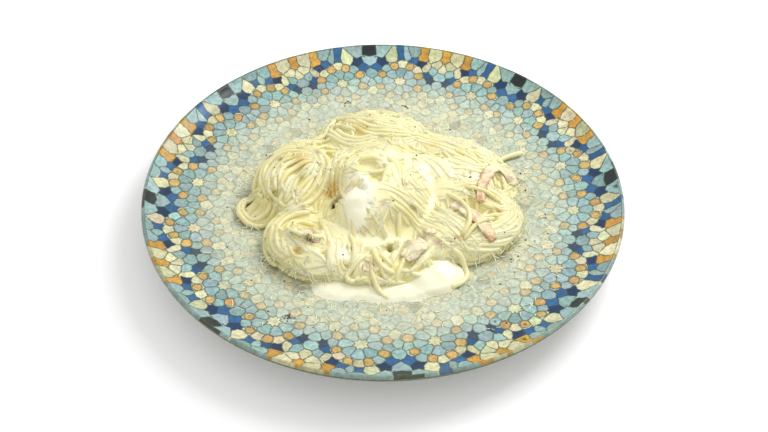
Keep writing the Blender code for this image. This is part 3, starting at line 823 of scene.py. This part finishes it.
# x, y, reach, strength, colour: oil, egg, pepper and meat juices that tint the food, and painted shade,
# where the SHADE marks and those at the PITS places darken the slits and gaps between the noodles
STAINS_AND_SHADE = (
    (-68, 20, 2.0, 1.0, SHADE), (-61, 13, 1.7, 1.0, SHADE), (-29, -8, 4.2, 1.0, GOLD),
    (-27, -17, 3.2, 1.0, SHADE), (-41, -48, 2.0, 1.0, SHADE), (-62, -11, 2.4, 0.9, OLIVE),
    (67, -2, 1.5, 0.9, BROWN), (-49, 12, 4.2, 0.7, GOLD), (-39, 20, 1.6, 0.7, OLIVE),
    (-38, 60, 1.8, 0.8, OLIVE), (-36, 37, 1.6, 0.7, OLIVE), (-66, -14, 2.2, 0.7, GOLD),
    (-46, -21, 1.8, 0.6, BROWN), (-47, -53, 2.4, 0.8, GOLD), (-30, -50, 1.8, 0.7, GOLD),
    (-14, 40, 2.8, 0.6, GOLD), (-21, 11, 1.8, 0.7, BROWN), (-16, -5, 1.8, 0.6, OLIVE),
    (-20, -17, 2.0, 0.7, ROSE), (-9, -39, 2.0, 0.5, BROWN), (-13, -48, 2.4, 0.5, GOLD),
    (-20, -50, 1.8, 0.6, OLIVE), (-47, -2, 2.4, 0.5, OLIVE), (-2, 31, 2.4, 0.6, OLIVE),
    (12, -13, 1.5, 0.8, BROWN), (17, -25, 1.3, 0.7, BROWN), (0, -28, 1.7, 0.6, ROSE),
    (51, 3, 1.2, 0.9, OLIVE), (67, -22, 2.4, 0.9, GOLD), (43, -20, 1.4, 0.8, BROWN),
    (59, -39, 2.4, 0.8, OLIVE), (4, -48, 1.6, 0.9, OLIVE), (26, -38, 2.0, 0.5, ROSE),
    (31, -45, 2.0, 0.8, ROSE), (43, -42, 1.8, 0.8, GOLD), (-6, -61, 2.6, 0.7, ROSE),
    (10, 22, 5.0, 0.25, GOLD), (30, 26, 5.0, 0.25, GOLD), (-8, 52, 5.0, 0.25, GOLD))
# x, y, reach, depth: slits and gaps that show between the noodles
PITS = ((-68, 20, 1.5, 5), (-61, 13, 1.3, 5), (-29, -8, 2.8, 7), (-27, -17, 2.4, 7),
        (-41, -48, 1.8, 4), (-62, -11, 2.0, 4), (67, -2, 1.4, 3), (4, -48, 1.3, 3), (-46, -21, 1.4, 3))


def stain_and_shade_layers(points):
    """How strongly each point is tinted by stains and painted gap shade, and with what colour: bell-shaped
    patches, the strongest of which sets the amount while their weights mix the colours."""
    table = np.array([row[:4] for row in STAINS_AND_SHADE])
    colours = np.array([row[4] for row in STAINS_AND_SHADE])
    gap = (points[:, None, 0] / MM - table[:, 0]) ** 2 + (points[:, None, 1] / MM - table[:, 1]) ** 2
    weights = np.exp(-gap / table[:, 2] ** 2) * table[:, 3]
    colour = (weights @ colours) / (weights.sum(1, keepdims=True) + 1e-9)
    return {"stain_and_shade": np.clip(weights.max(1) * 1.15, 0, 1), "stain_and_shade_colour": colour}


def stained_and_shaded(tree, base):
    """A colour with the food's stains and painted gap shade over it, their edges broken up by noise."""
    stain_and_shade = stored(tree, "stain_and_shade")
    colour = stored(tree, "stain_and_shade_colour", "Color")
    broken = ranged(tree, cloudy(tree, place_of(tree), 500.0, 3.0), 0.3, 0.7, 0.45, 1.25)
    amount = add(tree, "ShaderNodeMath", {0: stain_and_shade, 1: broken}, operation="MULTIPLY",
                 use_clamp=True).outputs[0]
    return mixed(tree, amount, base, colour)


rng = np.random.default_rng(23)
coil_lines, tangle_lines, left_lines, crown_lines, right_lines = [], [], [], [], []
for coil in COILS:
    for _ in range(coil[-1]):
        route = inside_heap(coil_route(rng, coil[:-1]))
        coil_lines += [lay_noodle(route, NOODLE_RADIUS)] if len(route) > 30 else []
edge_lines = []
for _ in range(EDGE_STRANDS):
    route = edge_route(rng)
    if np.hypot(*(route - np.array(LOOP_PLACE) * MM).T).min() > LOOP_CLEAR:
        edge_lines.append(lay_noodle(route, NOODLE_RADIUS, slack=1.4 * MM))
for tangle in TANGLES:
    for _ in range(tangle[-1]):
        route = inside_heap(tangle_route(rng, tangle[:-1]))
        tangle_lines += [lay_noodle(route, NOODLE_RADIUS * TANGLE_SHARE)] if len(route) > 30 else []
for strands, lines in ((LEFT_STRANDS, left_lines), (CROWN_STRANDS, crown_lines),
                       (RIGHT_STRANDS, right_lines)):
    for beside, strand in strands:
        for turn in range(beside + 1):
            route = drawn_route(strand)
            aside = (1 if turn % 2 else -1) * ((turn + 1) // 2) * NOODLE_RADIUS * rng.uniform(1.7, 2.3)
            route = shifted_route(route, aside, rng) if turn else route
            lines.append(lay_noodle(route, NOODLE_RADIUS * LAID_SWELL, slack=1.6 * MM))

pasta_finish, tree, shader = start_finish("creamed_pasta")
where = place_of(tree)
tone = stored(tree, "tone")
base = mixed(tree, tone, paint(226, 216, 150), paint(233, 227, 177))
cream_patch = ranged(tree, cloudy(tree, where, 90.0, 3.0, 0.6), 0.42, 0.66)
base = mixed(tree, maths(tree, "MULTIPLY", cream_patch, 0.55), base, paint(240, 235, 200))
fine = ranged(tree, cloudy(tree, where, 1300.0, 3.0, 0.6), 0.3, 0.7)
base = mixed(tree, maths(tree, "MULTIPLY", fine, 0.14), base, paint(222, 206, 132))
join(tree, stained_and_shaded(tree, base), shader.inputs["Base Color"])
join(tree, ranged(tree, cloudy(tree, where, 260.0, 3.0), 0.3, 0.7, 0.22, 0.42), shader.inputs["Roughness"])
let_light_in(shader, 0.3, 0.002, (1.0, 0.85, 0.5))
relief(tree, cloudy(tree, where, 700.0, 3.0), 0.0004, 0.5, shader)

for name, lines, size in (
        ("noodle_coils", coil_lines, NOODLE_RADIUS), ("noodles_edge", edge_lines, NOODLE_RADIUS),
        ("noodle_tangle", tangle_lines, NOODLE_RADIUS * TANGLE_SKIN),
        ("noodles_left", left_lines, NOODLE_RADIUS * LAID_SWELL),
        ("noodles_crown", crown_lines, NOODLE_RADIUS * LAID_SWELL),
        ("noodles_right", right_lines, NOODLE_RADIUS * LAID_SWELL)):
    points, faces, tones = noodle_skins(lines, size, NOODLE_SIDES, NOODLE_STEP, rng)
    piece = build_mesh(name, points, faces, pasta_finish, {"tone": tones, **stain_and_shade_layers(points)})
    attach(piece, "root")
    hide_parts("spaghetti")

# --- Cream between the noodles ---------------------------------------------------------------
# The cream, egg and cheese sauce that fills the heap: deep in the middle and the front, where
# it closes over the noodles, and thin at the left, where dark gaps show between the coils.
CREAM_RINGS = 130
CREAM_RAYS = 560
CREAM_FLOODS = (  # x, y, reach x, reach y: where the sauce lies nearly level with the noodles
    (-12, -22, 13, 22), (6, -46, 32, 11), (2, 6, 17, 15), (30, 2, 18, 15), (-20, -58, 24, 9))


def bell_patch(x, y, reach_x, reach_y):
    """A bell-shaped patch on the pile's grid, 1 at its middle, from sizes in millimetres."""
    return np.exp(-((pile_x / MM - x) / reach_x) ** 2 - ((pile_y / MM - y) / reach_y) ** 2)


flood = np.zeros_like(pile)
for place in CREAM_FLOODS:
    flood = np.maximum(flood, bell_patch(*place))
bare = bell_patch(-56, 8, 22, 22)
spooned = bell_patch(-13, -24, 9, 17)
patchy = soften(rng.normal(0, 1, pile.shape), 5.0 * MM)
patchy /= patchy.std()
cover = np.clip(0.78 + 0.40 * flood - 0.85 * bare + 0.15 * patchy, 0, 1)
cover = cover * cover * (3 - 2 * cover)
film = soften(pile, 1.0 * MM) + (0.55 * flood + 0.35 * spooned - 0.22) * MM
film = np.maximum(film, soften(pile, 4.5 * MM) - 0.9 * MM)
between = soften(pile, 1.5 * MM) - (0.7 + 0.6 * bare) * MM
cream_level = cover * film + (1 - cover) * between
for x, y, reach, deep in PITS:
    cream_level -= deep * MM * bell_patch(x, y, reach, reach)
# How far the cream lies below its blurred surroundings: this is painted as shade in the creases between the
# noodles.
painted_crease_shade = np.clip((soften(cream_level, 2.2 * MM) - cream_level) / (0.9 * MM), 0, 1)
whiteness = np.clip(0.45 * flood + 0.9 * spooned + 0.08 * patchy, 0, 1)


def polar_mound(middle, reach, rings, rays):
    """Points of a disc in rings from near the middle outwards, whose rays end at the reach
    given for each angle."""
    angle = np.linspace(0, 2 * math.pi, rays, endpoint=False)
    share = np.linspace(0, 1, rings + 1)[1:]
    x = middle[0] + np.outer(share, reach(angle) * np.cos(angle))
    y = middle[1] + np.outer(share, reach(angle) * np.sin(angle))
    return x, y


def closed_mound(x, y, level, middle, middle_level, middle_floor):
    """A lid of rings round a pole, closed under its outline by a fan to a second pole."""
    rings, rays = x.shape
    lid = np.stack([x, y, level], 2).reshape(-1, 3)
    points = np.concatenate([lid, [[*middle, middle_level], [*middle, middle_floor]]])
    grid = np.arange(rings * rays).reshape(rings, rays)
    cell = np.stack([grid[:-1], grid[1:], np.roll(grid[1:], -1, 1), np.roll(grid[:-1], -1, 1)], 2)
    pole_top, pole_low = len(lid), len(lid) + 1
    caps = [np.stack([np.full(rays, pole_top), grid[0], np.roll(grid[0], -1)], 1),
            np.stack([np.full(rays, pole_low), np.roll(grid[-1], -1), grid[-1]], 1)]
    return points, [cell.reshape(-1, 4), np.concatenate(caps)]


x, y = polar_mound(HEAP_MIDDLE, heap_reach, CREAM_RINGS, CREAM_RAYS)
level = at(cream_level, x, y)
floor = at(plate_floor, x, y)
level = np.maximum(level, floor + 0.25 * MM)
level[-1] = floor[-1] - GAP - 0.1 * MM
middle_place = np.array(HEAP_MIDDLE)[:, None]
points, faces = closed_mound(x, y, level, HEAP_MIDDLE, at(cream_level, *middle_place)[0],
                             at(plate_floor, *middle_place)[0])
rest = np.zeros(len(points) - x.size)
# The depth layer carries that painted crease shade.
rise = np.concatenate([at(painted_crease_shade, x, y).ravel(), rest])
white = np.concatenate([at(whiteness, x, y).ravel(), rest])

cream_finish, tree, shader = start_finish("cream_sauce")
where = place_of(tree)
depth = stored(tree, "depth")
milky = stored(tree, "white")
surface = mixed(tree, ranged(tree, cloudy(tree, where, 120.0, 4.0, 0.6), 0.35, 0.65),
                paint(243, 236, 178), paint(238, 227, 154))
surface = mixed(tree, milky, surface, paint(250, 248, 228))
# Painted shade: a deeper, darker yellow in the creases, read from the depth layer.
surface = mixed(tree, ranged(tree, depth, 0.35, 1.0, 0.0, 0.4), surface, paint(224, 208, 130))
curd = ranged(tree, cloudy(tree, where, 900.0, 4.0, 0.65), 0.5, 0.72)
surface = mixed(tree, maths(tree, "MULTIPLY", curd, 0.35), surface, paint(238, 228, 176))
join(tree, stained_and_shaded(tree, surface), shader.inputs["Base Color"])
join(tree, ranged(tree, cloudy(tree, where, 200.0, 3.0), 0.3, 0.7, 0.16, 0.36), shader.inputs["Roughness"])
let_light_in(shader, 0.25, 0.003, (1.0, 0.85, 0.6))
relief(tree, cloudy(tree, where, 420.0, 3.0), 0.0004, 0.3, shader)
sauce_bed = build_mesh("sauce_bed", points, faces, cream_finish, {
    "depth": rise, "white": white, **stain_and_shade_layers(points)})
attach(sauce_bed, "root")
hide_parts("spaghetti")

# --- Cream dollop and pool -------------------------------------------------------------------
# A thick spoonful of sauce that slides down the left of the crown, and the pool of sauce that
# has run out in front, with a raised fold curling round its thickest part.
DOLLOP_MIDDLE = (-15.6, -26.0)
DOLLOP_REACH = (7.6, 13.6)
DOLLOP_LEAN = 0.22
DOLLOP_RISE = 2.6 * MM
POOL_LUMPS = ((3, -60, 41, 19, 4.6, 0), (29, -58, 18, 16, 8.0, 30), (-24, -62, 19, 16, 4.0, -10))
POOL_MIDDLE = (2.0, -60.0)
POOL_BLEND, POOL_ROUNDING = 4.0, 0.8
POOL_FOLD = ((37, -44), (45, -50), (48, -58), (43, -66), (33, -72), (20, -75))
SUNK_STRANDS = (
    ((-6, -48), (-10, -55), (-16, -62), (-21, -66), (-18, -69), (-13, -66)),
    ((-4, -50), (-7, -60), (-5, -67), (-1, -74), (5, -77)), ((0, -50), (-2, -58), (1, -66), (7, -69)),
    ((-20, -36), (-16, -46), (-15, -54), (-18, -62)),
    ((37, -46), (44, -50), (48, -58), (44, -65), (36, -69)))
FOLD_WIDTH = 2.4 * MM
FOLD_RISE = 1.5 * MM


def ellipse_reach(angle):
    """Distance to the dollop's outline: an ellipse with a slow wave round it."""
    wide, long = DOLLOP_REACH
    ring = 1 / np.sqrt((np.cos(angle) / wide) ** 2 + (np.sin(angle) / long) ** 2)
    return ring * (1 + 0.07 * np.sin(3 * angle + 0.6) + 0.04 * np.sin(5 * angle)) * MM


def pool_reach(angle):
    """Distance to the pool's outline in each direction, with a shallow scalloped edge."""
    middle = [v * MM for v in POOL_MIDDLE]
    ring = outline_reach(angle, POOL_LUMPS, middle, np.linspace(4, 60, 281)[:, None] * MM)
    return ring * (1 + 0.022 * np.sin(7 * angle + 1) + 0.014 * np.sin(13 * angle))


def route_distance(x, y, points):
    """Distance from each place to the nearest point of a drawn route."""
    route = drawn_route(points)[::3]
    return np.sqrt(((x[..., None] - route[:, 0]) ** 2 + (y[..., None] - route[:, 1]) ** 2).min(-1))


pile_soft = soften(pile, 2.4 * MM)
x, y = polar_mound((DOLLOP_MIDDLE[0] * MM, DOLLOP_MIDDLE[1] * MM), ellipse_reach, 26, 96)
x = x - DOLLOP_LEAN * (y - DOLLOP_MIDDLE[1] * MM)
share = np.linspace(0, 1, 27)[1:, None]
base = at(pile_soft, x, y)
level = base + DOLLOP_RISE * (1.35 * (1 - share ** 2) ** 0.6 - 0.35)
level += 0.35 * MM * (1 - share) * np.sin(y / MM * 0.9)
points, faces = closed_mound(
    x, y, level, [v * MM for v in DOLLOP_MIDDLE], level[0].mean(), base[-1].min() - 2.5 * MM)
dollop = build_mesh("sauce_spoonful", points, faces, cream_finish, {
    "depth": np.zeros(len(points)), "white": np.full(len(points), 0.8), **stain_and_shade_layers(points)})
x, y = polar_mound((POOL_MIDDLE[0] * MM, POOL_MIDDLE[1] * MM), pool_reach, 60, 260)
rise = lump_rise(x, y, POOL_LUMPS, POOL_BLEND, POOL_ROUNDING)
fold = FOLD_RISE * np.exp(-(route_distance(x, y, POOL_FOLD) / FOLD_WIDTH) ** 2)
ripple = 0.35 * MM * np.sin(x / MM * 0.42 + 2 * np.sin(y / MM * 0.3)) * np.clip(rise / (3 * MM), 0, 1)
floor = at(plate_floor, x, y)
rim_fall = np.clip((1 - np.linspace(0, 1, 61)[1:, None]) / 0.16, 0, 1)
floor = floor - GAP
swell = np.maximum(rise + fold * np.clip(rise / (2 * MM), 0, 1) + ripple, 0.3 * MM)
level = floor + swell * rim_fall * (2 - rim_fall)
level[-1] = floor[-1] - 0.1 * MM
points, faces = closed_mound(x, y, level, [v * MM for v in POOL_MIDDLE], level[0].mean(), floor[0].mean())
pool = build_mesh("sauce_pool_front", points, faces, cream_finish, {
    "depth": np.zeros(len(points)), "white": np.full(len(points), 0.75), **stain_and_shade_layers(points)})
pool_rise = lump_rise(pile_x, pile_y, POOL_LUMPS, POOL_BLEND, POOL_ROUNDING)
pool_skin = np.maximum(pile, plate_floor - GAP + pool_rise)
sunk_lines = []
for strand in SUNK_STRANDS:
    route = drawn_route(strand, 4.0)
    level = smooth_line(at(soften(pool_skin, 0.8 * MM), route[:, 0], route[:, 1]), 4.0)
    level -= end_dive(len(level), 1.5)
    sunk_lines.append(np.concatenate([route, level[:, None] + 0.1 * NOODLE_RADIUS], 1))
points, faces, tones = noodle_skins(sunk_lines, NOODLE_RADIUS, NOODLE_SIDES, NOODLE_STEP, rng)
sunk = build_mesh("noodles_in_sauce", points, faces, pasta_finish, {"tone": tones, **stain_and_shade_layers(points)})
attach(sunk, "root")
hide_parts("spaghetti")
for piece, node in ((dollop, "cream_dollop"), (pool, "sauce_pool")):
    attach(piece, "root")
    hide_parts(node)

# --- Bacon and ham ---------------------------------------------------------------------------
# Short rashers of fried bacon, streaked with fat and curled by the pan, and soft slices of
# cooked ham, pressed lightly into the noodles and filmed with sauce.
MEAT_SIDES = 18
OVER_STRANDS = (
    ((36, -10), (44, -17), (49, -25), (49, -34), (44, -42)), ((64, -26), (58, -31), (52, -35), (45, -44)),
    ((46, -6), (53, -9), (60, -10), (68, -14)), ((-54, -38), (-48, -44), (-40, -48), (-33, -46)))
MEAT_STEPS = 46
# piece, CAD node, slot, width, thickness, arch, ruffle, route
MEATS = (
    ("bacon_arch", "bacon_curl", "bacon", 6.4, 1.8, 1.6, 0.8,
     ((55.9, -17), (56.4, -10), (58.2, -3), (61.6, 4.5), (67, 9.4), (72, 9.6), (76, 7.4), (77.6, 3))),
    ("bacon_rasher", "bacon_strip", "bacon", 7.4, 2.2, 0.8, 0.8,
     ((38.6, -18), (45, -22.5), (51, -28.5), (57, -35.5), (62.8, -42.4))),
    ("bacon_hoop", "bacon_left", "bacon", 6.0, 2.2, 1.6, 0.5,
     ((-47.6, -44.2), (-43.6, -42.6), (-39, -45), (-35.6, -50))),
    ("bacon_crumb", "bacon_bit", "bacon", 4.2, 2.0, 0.3, 0.3, ((22.6, -37), (26.6, -37.8), (31, -39))),
    ("ham_fold", "ham_slice", "ham", 10.4, 1.7, 0.8, 0.7,
     ((11.4, -55.6), (16, -51.6), (20, -47.4), (24, -42.6))),
    ("ham_crumb", "ham_bit", "ham", 5.2, 2.0, 0.3, 0.3, ((-11.8, -61.8), (-8, -61.4), (-4.6, -60.6))))


def lay_slice(points, width, thick, arch, ruffle, rng):
    """A strip carried along a route on top of the pile: a flat rounded section whose edges
    cup and ruffle along its length, arched in the middle. The pile gains its upper side."""
    drawn = drawn_route(points, 4.0)
    marks = np.linspace(0, len(drawn) - 1, MEAT_STEPS)
    route = np.stack([np.interp(marks, np.arange(len(drawn)), drawn[:, k]) for k in range(2)], 1)
    heading = heading_of(route)
    across = np.linspace(-0.45, 0.45, 7) * width * MM
    px = route[:, 0, None] - heading[:, 1, None] * across
    py = route[:, 1, None] + heading[:, 0, None] * across
    part = np.linspace(0, 1, MEAT_STEPS)
    level = smooth_line(np.percentile(at(pile, px, py), 80, axis=1), 2.5)
    level += (arch * np.sin(math.pi * part) ** 0.8 - thick * 0.1) * MM
    turn = np.linspace(0, 2 * math.pi, MEAT_SIDES, endpoint=False)
    c, s = np.cos(turn), np.sin(turn)
    flat = np.sign(c) * np.abs(c) ** 0.75
    tall = np.sign(s) * np.abs(s) ** 0.8
    taper = (0.45 + 0.55 * np.sin(math.pi * np.clip(part, 0.03, 0.97)) ** 0.35)
    taper *= 1 + 0.09 * np.sin(13 * part + rng.uniform(0, 6)) + 0.05 * np.sin(29 * part)
    half = taper[:, None] * width / 2 * MM * flat
    lift = taper[:, None] ** 0.5 * thick / 2 * MM * tall
    edge = flat[None] ** 2
    side = np.sign(flat)[None]
    lift = lift + ruffle * MM * edge * (0.5 + np.sin(15 * part[:, None] + side * 1.3 + rng.uniform(0, 6)))
    ring = np.stack([route[:, 0, None] - heading[:, 1, None] * half,
                     route[:, 1, None] + heading[:, 0, None] * half, level[:, None] + lift], 2)
    tips = ring[[0, -1]].mean(1)
    grid = np.arange(MEAT_STEPS * MEAT_SIDES).reshape(MEAT_STEPS, MEAT_SIDES)
    after = np.roll(grid, -1, 1)
    quads = np.stack([grid[:-1], grid[1:], after[1:], after[:-1]], 2).reshape(-1, 4)
    head = grid.size
    caps = np.concatenate([np.stack([np.full(MEAT_SIDES, head), grid[0], after[0]], 1),
                           np.stack([np.full(MEAT_SIDES, head + 1), after[-1], grid[-1]], 1)])
    raise_pile(px, py, level[:, None] + thick / 2 * MM + 0 * px)
    points = np.concatenate([ring.reshape(-1, 3), tips])
    points[:, 2] = np.minimum(points[:, 2], CEILING)
    sideways = np.concatenate([np.tile(flat, MEAT_STEPS), [0, 0]])
    lengthways = np.concatenate([np.repeat(part, MEAT_SIDES), [0, 1]])
    return points, [quads, caps], {"across": sideways, "along": lengthways}


def meat_finish(name, lean, far, dark, fat, film, streak):
    """Cured meat: streaks of fat that follow its length, darker edges, and a film of sauce
    in patches. The lean colour turns to another at the far end; streak is how fatty it is."""
    material, tree, shader = start_finish(name)
    where = place_of(tree)
    across = stored(tree, "across")
    along = stored(tree, "along")
    grain = add(tree, "ShaderNodeCombineXYZ", {0: across, 1: along}).outputs[0]
    bands = cloudy(tree, grain, 2.3, 3.0, 0.6)
    lean = mixed(tree, ranged(tree, along, 0.25, 0.7), lean, far)
    marbled = mixed(tree, ranged(tree, bands, 0.56 - streak, 0.66 - streak), lean, fat)
    rim = maths(tree, "ABSOLUTE", across)
    rim = ranged(tree, rim, 0.72, 1.0, 0.0, 0.7)
    marbled = mixed(tree, rim, marbled, dark)
    browned = ranged(tree, cloudy(tree, where, 260.0, 4.0, 0.6), 0.52, 0.74, 0.0, 0.75)
    marbled = mixed(tree, browned, marbled, dark)
    veil = ranged(tree, cloudy(tree, where, 190.0, 3.0, 0.6), 0.40, 0.58, 0.0, 0.85)
    join(tree, mixed(tree, veil, marbled, film), shader.inputs["Base Color"])
    join(tree, ranged(tree, cloudy(tree, where, 400.0), 0.3, 0.7, 0.18, 0.4), shader.inputs["Roughness"])
    let_light_in(shader, 0.15, 0.002, (1.0, 0.5, 0.4))
    relief(tree, cloudy(tree, where, 900.0, 4.0), 0.0004, 0.6, shader)
    return material


BACON_FAT, SAUCE_FILM = paint(234, 214, 184), paint(240, 230, 190)
finishes = {
    "bacon": meat_finish("fried_bacon", paint(206, 170, 128), paint(206, 170, 128), paint(174, 130, 92),
                         BACON_FAT, SAUCE_FILM, 0.03),
    "bacon_arch": meat_finish("curled_bacon", paint(206, 158, 114), paint(204, 184, 152),
                              paint(180, 136, 98), BACON_FAT, SAUCE_FILM, 0.03),
    "bacon_rasher": meat_finish("streaky_bacon", paint(198, 182, 150), paint(208, 162, 116),
                                paint(162, 126, 88), BACON_FAT, SAUCE_FILM, 0.03),
    "bacon_hoop": meat_finish("browned_bacon", paint(180, 160, 118), paint(170, 140, 98),
                              paint(118, 88, 64), BACON_FAT, SAUCE_FILM, 0.03),
    "ham": meat_finish("cooked_ham", paint(202, 184, 148), paint(206, 190, 158), paint(172, 152, 120),
                       paint(224, 214, 178), paint(240, 232, 196), 0.04)}
for name, node, slot, width, thick, arch, ruffle, route in MEATS:
    points, faces, layers = lay_slice(route, width, thick, arch, ruffle, rng)
    piece = build_mesh(name, points, faces, finishes.get(name, finishes[slot]), layers)
    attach(piece, "root")
    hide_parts(node)
over_lines = [lay_noodle(drawn_route(strand), NOODLE_RADIUS * TANGLE_SHARE, slack=4.0 * MM)
              for strand in OVER_STRANDS]
points, faces, tones = noodle_skins(over_lines, NOODLE_RADIUS * TANGLE_SHARE, NOODLE_SIDES, NOODLE_STEP, rng)
over = build_mesh("noodles_over_bacon", points, faces, pasta_finish, {"tone": tones, **stain_and_shade_layers(points)})
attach(over, "root")
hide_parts("spaghetti")

# --- Grated cheese, herbs and pepper ---------------------------------------------------------
# Fine shreds of hard cheese grated over the heap and the plate round it, with grains of dried
# herb and pepper, one clump of flakes and a few twigs; all rest loose on what lies under them.
SHRED_RADIUS = 0.23 * MM
PLATE_SHREDS = 760
HEAP_SHREDS = 420
SPECKS = 130
CLUMP_PLACE = (-49.0, -92.0)
CLUMP_FLAKES = 16
TWIGS = ((-25, 91), (-23, 92), (13, 89), (15, 88), (-110, 11), (-109, 12))
top_of_all = np.where(pile > plate_floor + 0.05 * MM, pile, plate_floor - GAP)


def round_the_food(count, spread, rng):
    """Places round the food, close to its outline and thinning out with distance."""
    angle = rng.uniform(0, 2 * math.pi, count)
    bias = 1 + 0.6 * np.cos(angle - math.radians(-60))
    around = np.linspace(0, 2 * math.pi, 361)
    foot = np.interp(angle, around, heap_reach(around)) + 0.5 * MM
    reach = foot + rng.exponential(spread, count) * bias * MM
    reach = np.minimum(reach, 112 * MM)
    return reach * np.cos(angle), HEAP_MIDDLE[1] + reach * np.sin(angle)


def over_the_food(count, rng):
    """Places spread over the heap, kept to its outline."""
    x, y = rng.uniform(-85, 83, count * 3) * MM, rng.uniform(-68, 73, count * 3) * MM
    inside = at(heap_rise, x, y) > 3 * MM
    return x[inside][:count], y[inside][:count]


def shred_lines(x, y, low, high, rng):
    """Short curved lines that start at the places and follow the surface under them."""
    lines = []
    for px, py in zip(x, y):
        length = rng.uniform(low, high) * MM
        angle = rng.uniform(0, 2 * math.pi) + np.linspace(0, rng.normal(0, 0.9), 5)
        path = np.cumsum(np.stack([np.cos(angle), np.sin(angle)], 1), 0) * length / 5
        path += np.array([px, py]) - path.mean(0)
        ground = at(top_of_all, path[:, 0], path[:, 1])
        ground = np.minimum(0.6 * ground.max() + 0.4 * ground, CEILING - 2 * SHRED_RADIUS)
        lines.append(np.column_stack([path, ground + SHRED_RADIUS * 0.2]))
    return lines


def grain_shapes(x, y, size, rng):
    """Flat six-sided flakes of random size, turn and tilt at the given places."""
    count = len(x)
    turn = rng.uniform(0, 2 * math.pi, (count, 1)) + np.linspace(0, 2 * math.pi, 6, endpoint=False)
    broad = size * rng.uniform(0.5, 1.3, (count, 1))
    radius = broad * (1 + 0.5 * np.abs(np.cos(turn + rng.uniform(0, 6, (count, 1)))))
    ground = at(top_of_all, x, y)
    tilt = rng.normal(0, 0.25, (count, 2))
    ring_x, ring_y = radius * np.cos(turn), radius * np.sin(turn)
    ring_z = ring_x * tilt[:, :1] + ring_y * tilt[:, 1:] + size * 0.35
    ring = np.stack([x[:, None] + ring_x, y[:, None] + ring_y, ground[:, None] + ring_z], 2)
    tops = np.stack([x, y, ground + size * 0.75], 1)[:, None]
    lows = np.stack([x, y, ground - size * 0.1], 1)[:, None]
    points = np.concatenate([ring, tops, lows], 1).reshape(-1, 3)
    points[:, 2] = np.minimum(points[:, 2], CEILING)
    start = np.arange(count)[:, None] * 8
    near, far = np.arange(6), np.roll(np.arange(6), -1)
    upper = np.stack([start + near, start + far, np.broadcast_to(start + 6, (count, 6))], 2)
    lower = np.stack([start + far, start + near, np.broadcast_to(start + 7, (count, 6))], 2)
    return points, [np.concatenate([upper.reshape(-1, 3), lower.reshape(-1, 3)])]


cheese_finish, tree, shader = start_finish("grated_cheese")
where = place_of(tree)
tone = stored(tree, "tone")
# Painted shade: the lowest-toned shreds are a dull grey-green that stands in for the shadowed lines seen
# among fine shreds; the rest are cream.
base = mixed(tree, ranged(tree, tone, 0.06, 0.18), paint(190, 192, 154), paint(247, 244, 214))
join(tree, mixed(tree, ranged(tree, cloudy(tree, where, 800.0), 0.4, 0.7, 0.0, 0.4), base,
                 paint(214, 196, 128)), shader.inputs["Base Color"])
shader.inputs["Roughness"].default_value = 0.5
let_light_in(shader, 0.2, 0.001)
relief(tree, cloudy(tree, where, 2400.0), 0.0002, 0.4, shader)
for name, places in (("cheese_shreds_on_plate", round_the_food(PLATE_SHREDS, 13.0, rng)),
                     ("cheese_shreds_on_heap", over_the_food(HEAP_SHREDS, rng))):
    lines = shred_lines(*places, 2.5, 7.5, rng)
    points, faces, tones = noodle_skins(lines, SHRED_RADIUS, 5, 1.4 * MM, rng)
    piece = build_mesh(name, points, faces, cheese_finish, {"tone": tones})
    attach(piece, "root")

herb_finish, tree, shader = start_finish("dried_herb")
where = place_of(tree)
kind = cloudy(tree, where, 130.0, 1.0)
base = mixed(tree, ranged(tree, kind, 0.42, 0.58), paint(58, 66, 34), paint(104, 84, 52))
join(tree, base, shader.inputs["Base Color"])
join(tree, ranged(tree, cloudy(tree, where, 900.0), 0.3, 0.7, 0.5, 0.8), shader.inputs["Roughness"])
relief(tree, cloudy(tree, where, 3000.0), 0.0001, 0.5, shader)
plate_x, plate_y = round_the_food(SPECKS * 2 // 3, 15.0, rng)
heap_x, heap_y = over_the_food(SPECKS // 3, rng)
clump_x, clump_y = (rng.normal(0, 1.5, (2, CLUMP_FLAKES)) + np.array(CLUMP_PLACE)[:, None]) * MM
points, faces = grain_shapes(np.concatenate([plate_x, heap_x, clump_x]),
                             np.concatenate([plate_y, heap_y, clump_y]), 0.42 * MM, rng)
specks = build_mesh("herb_and_pepper", points, faces, herb_finish)
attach(specks, "root")
twig_x, twig_y = np.array(TWIGS).T * MM
lines = shred_lines(twig_x, twig_y, 3.0, 5.0, rng)
points, faces, tones = noodle_skins(lines, SHRED_RADIUS * 1.2, 5, MM, rng)
twigs = build_mesh("herb_twigs", points, faces, herb_finish)
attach(twigs, "root")
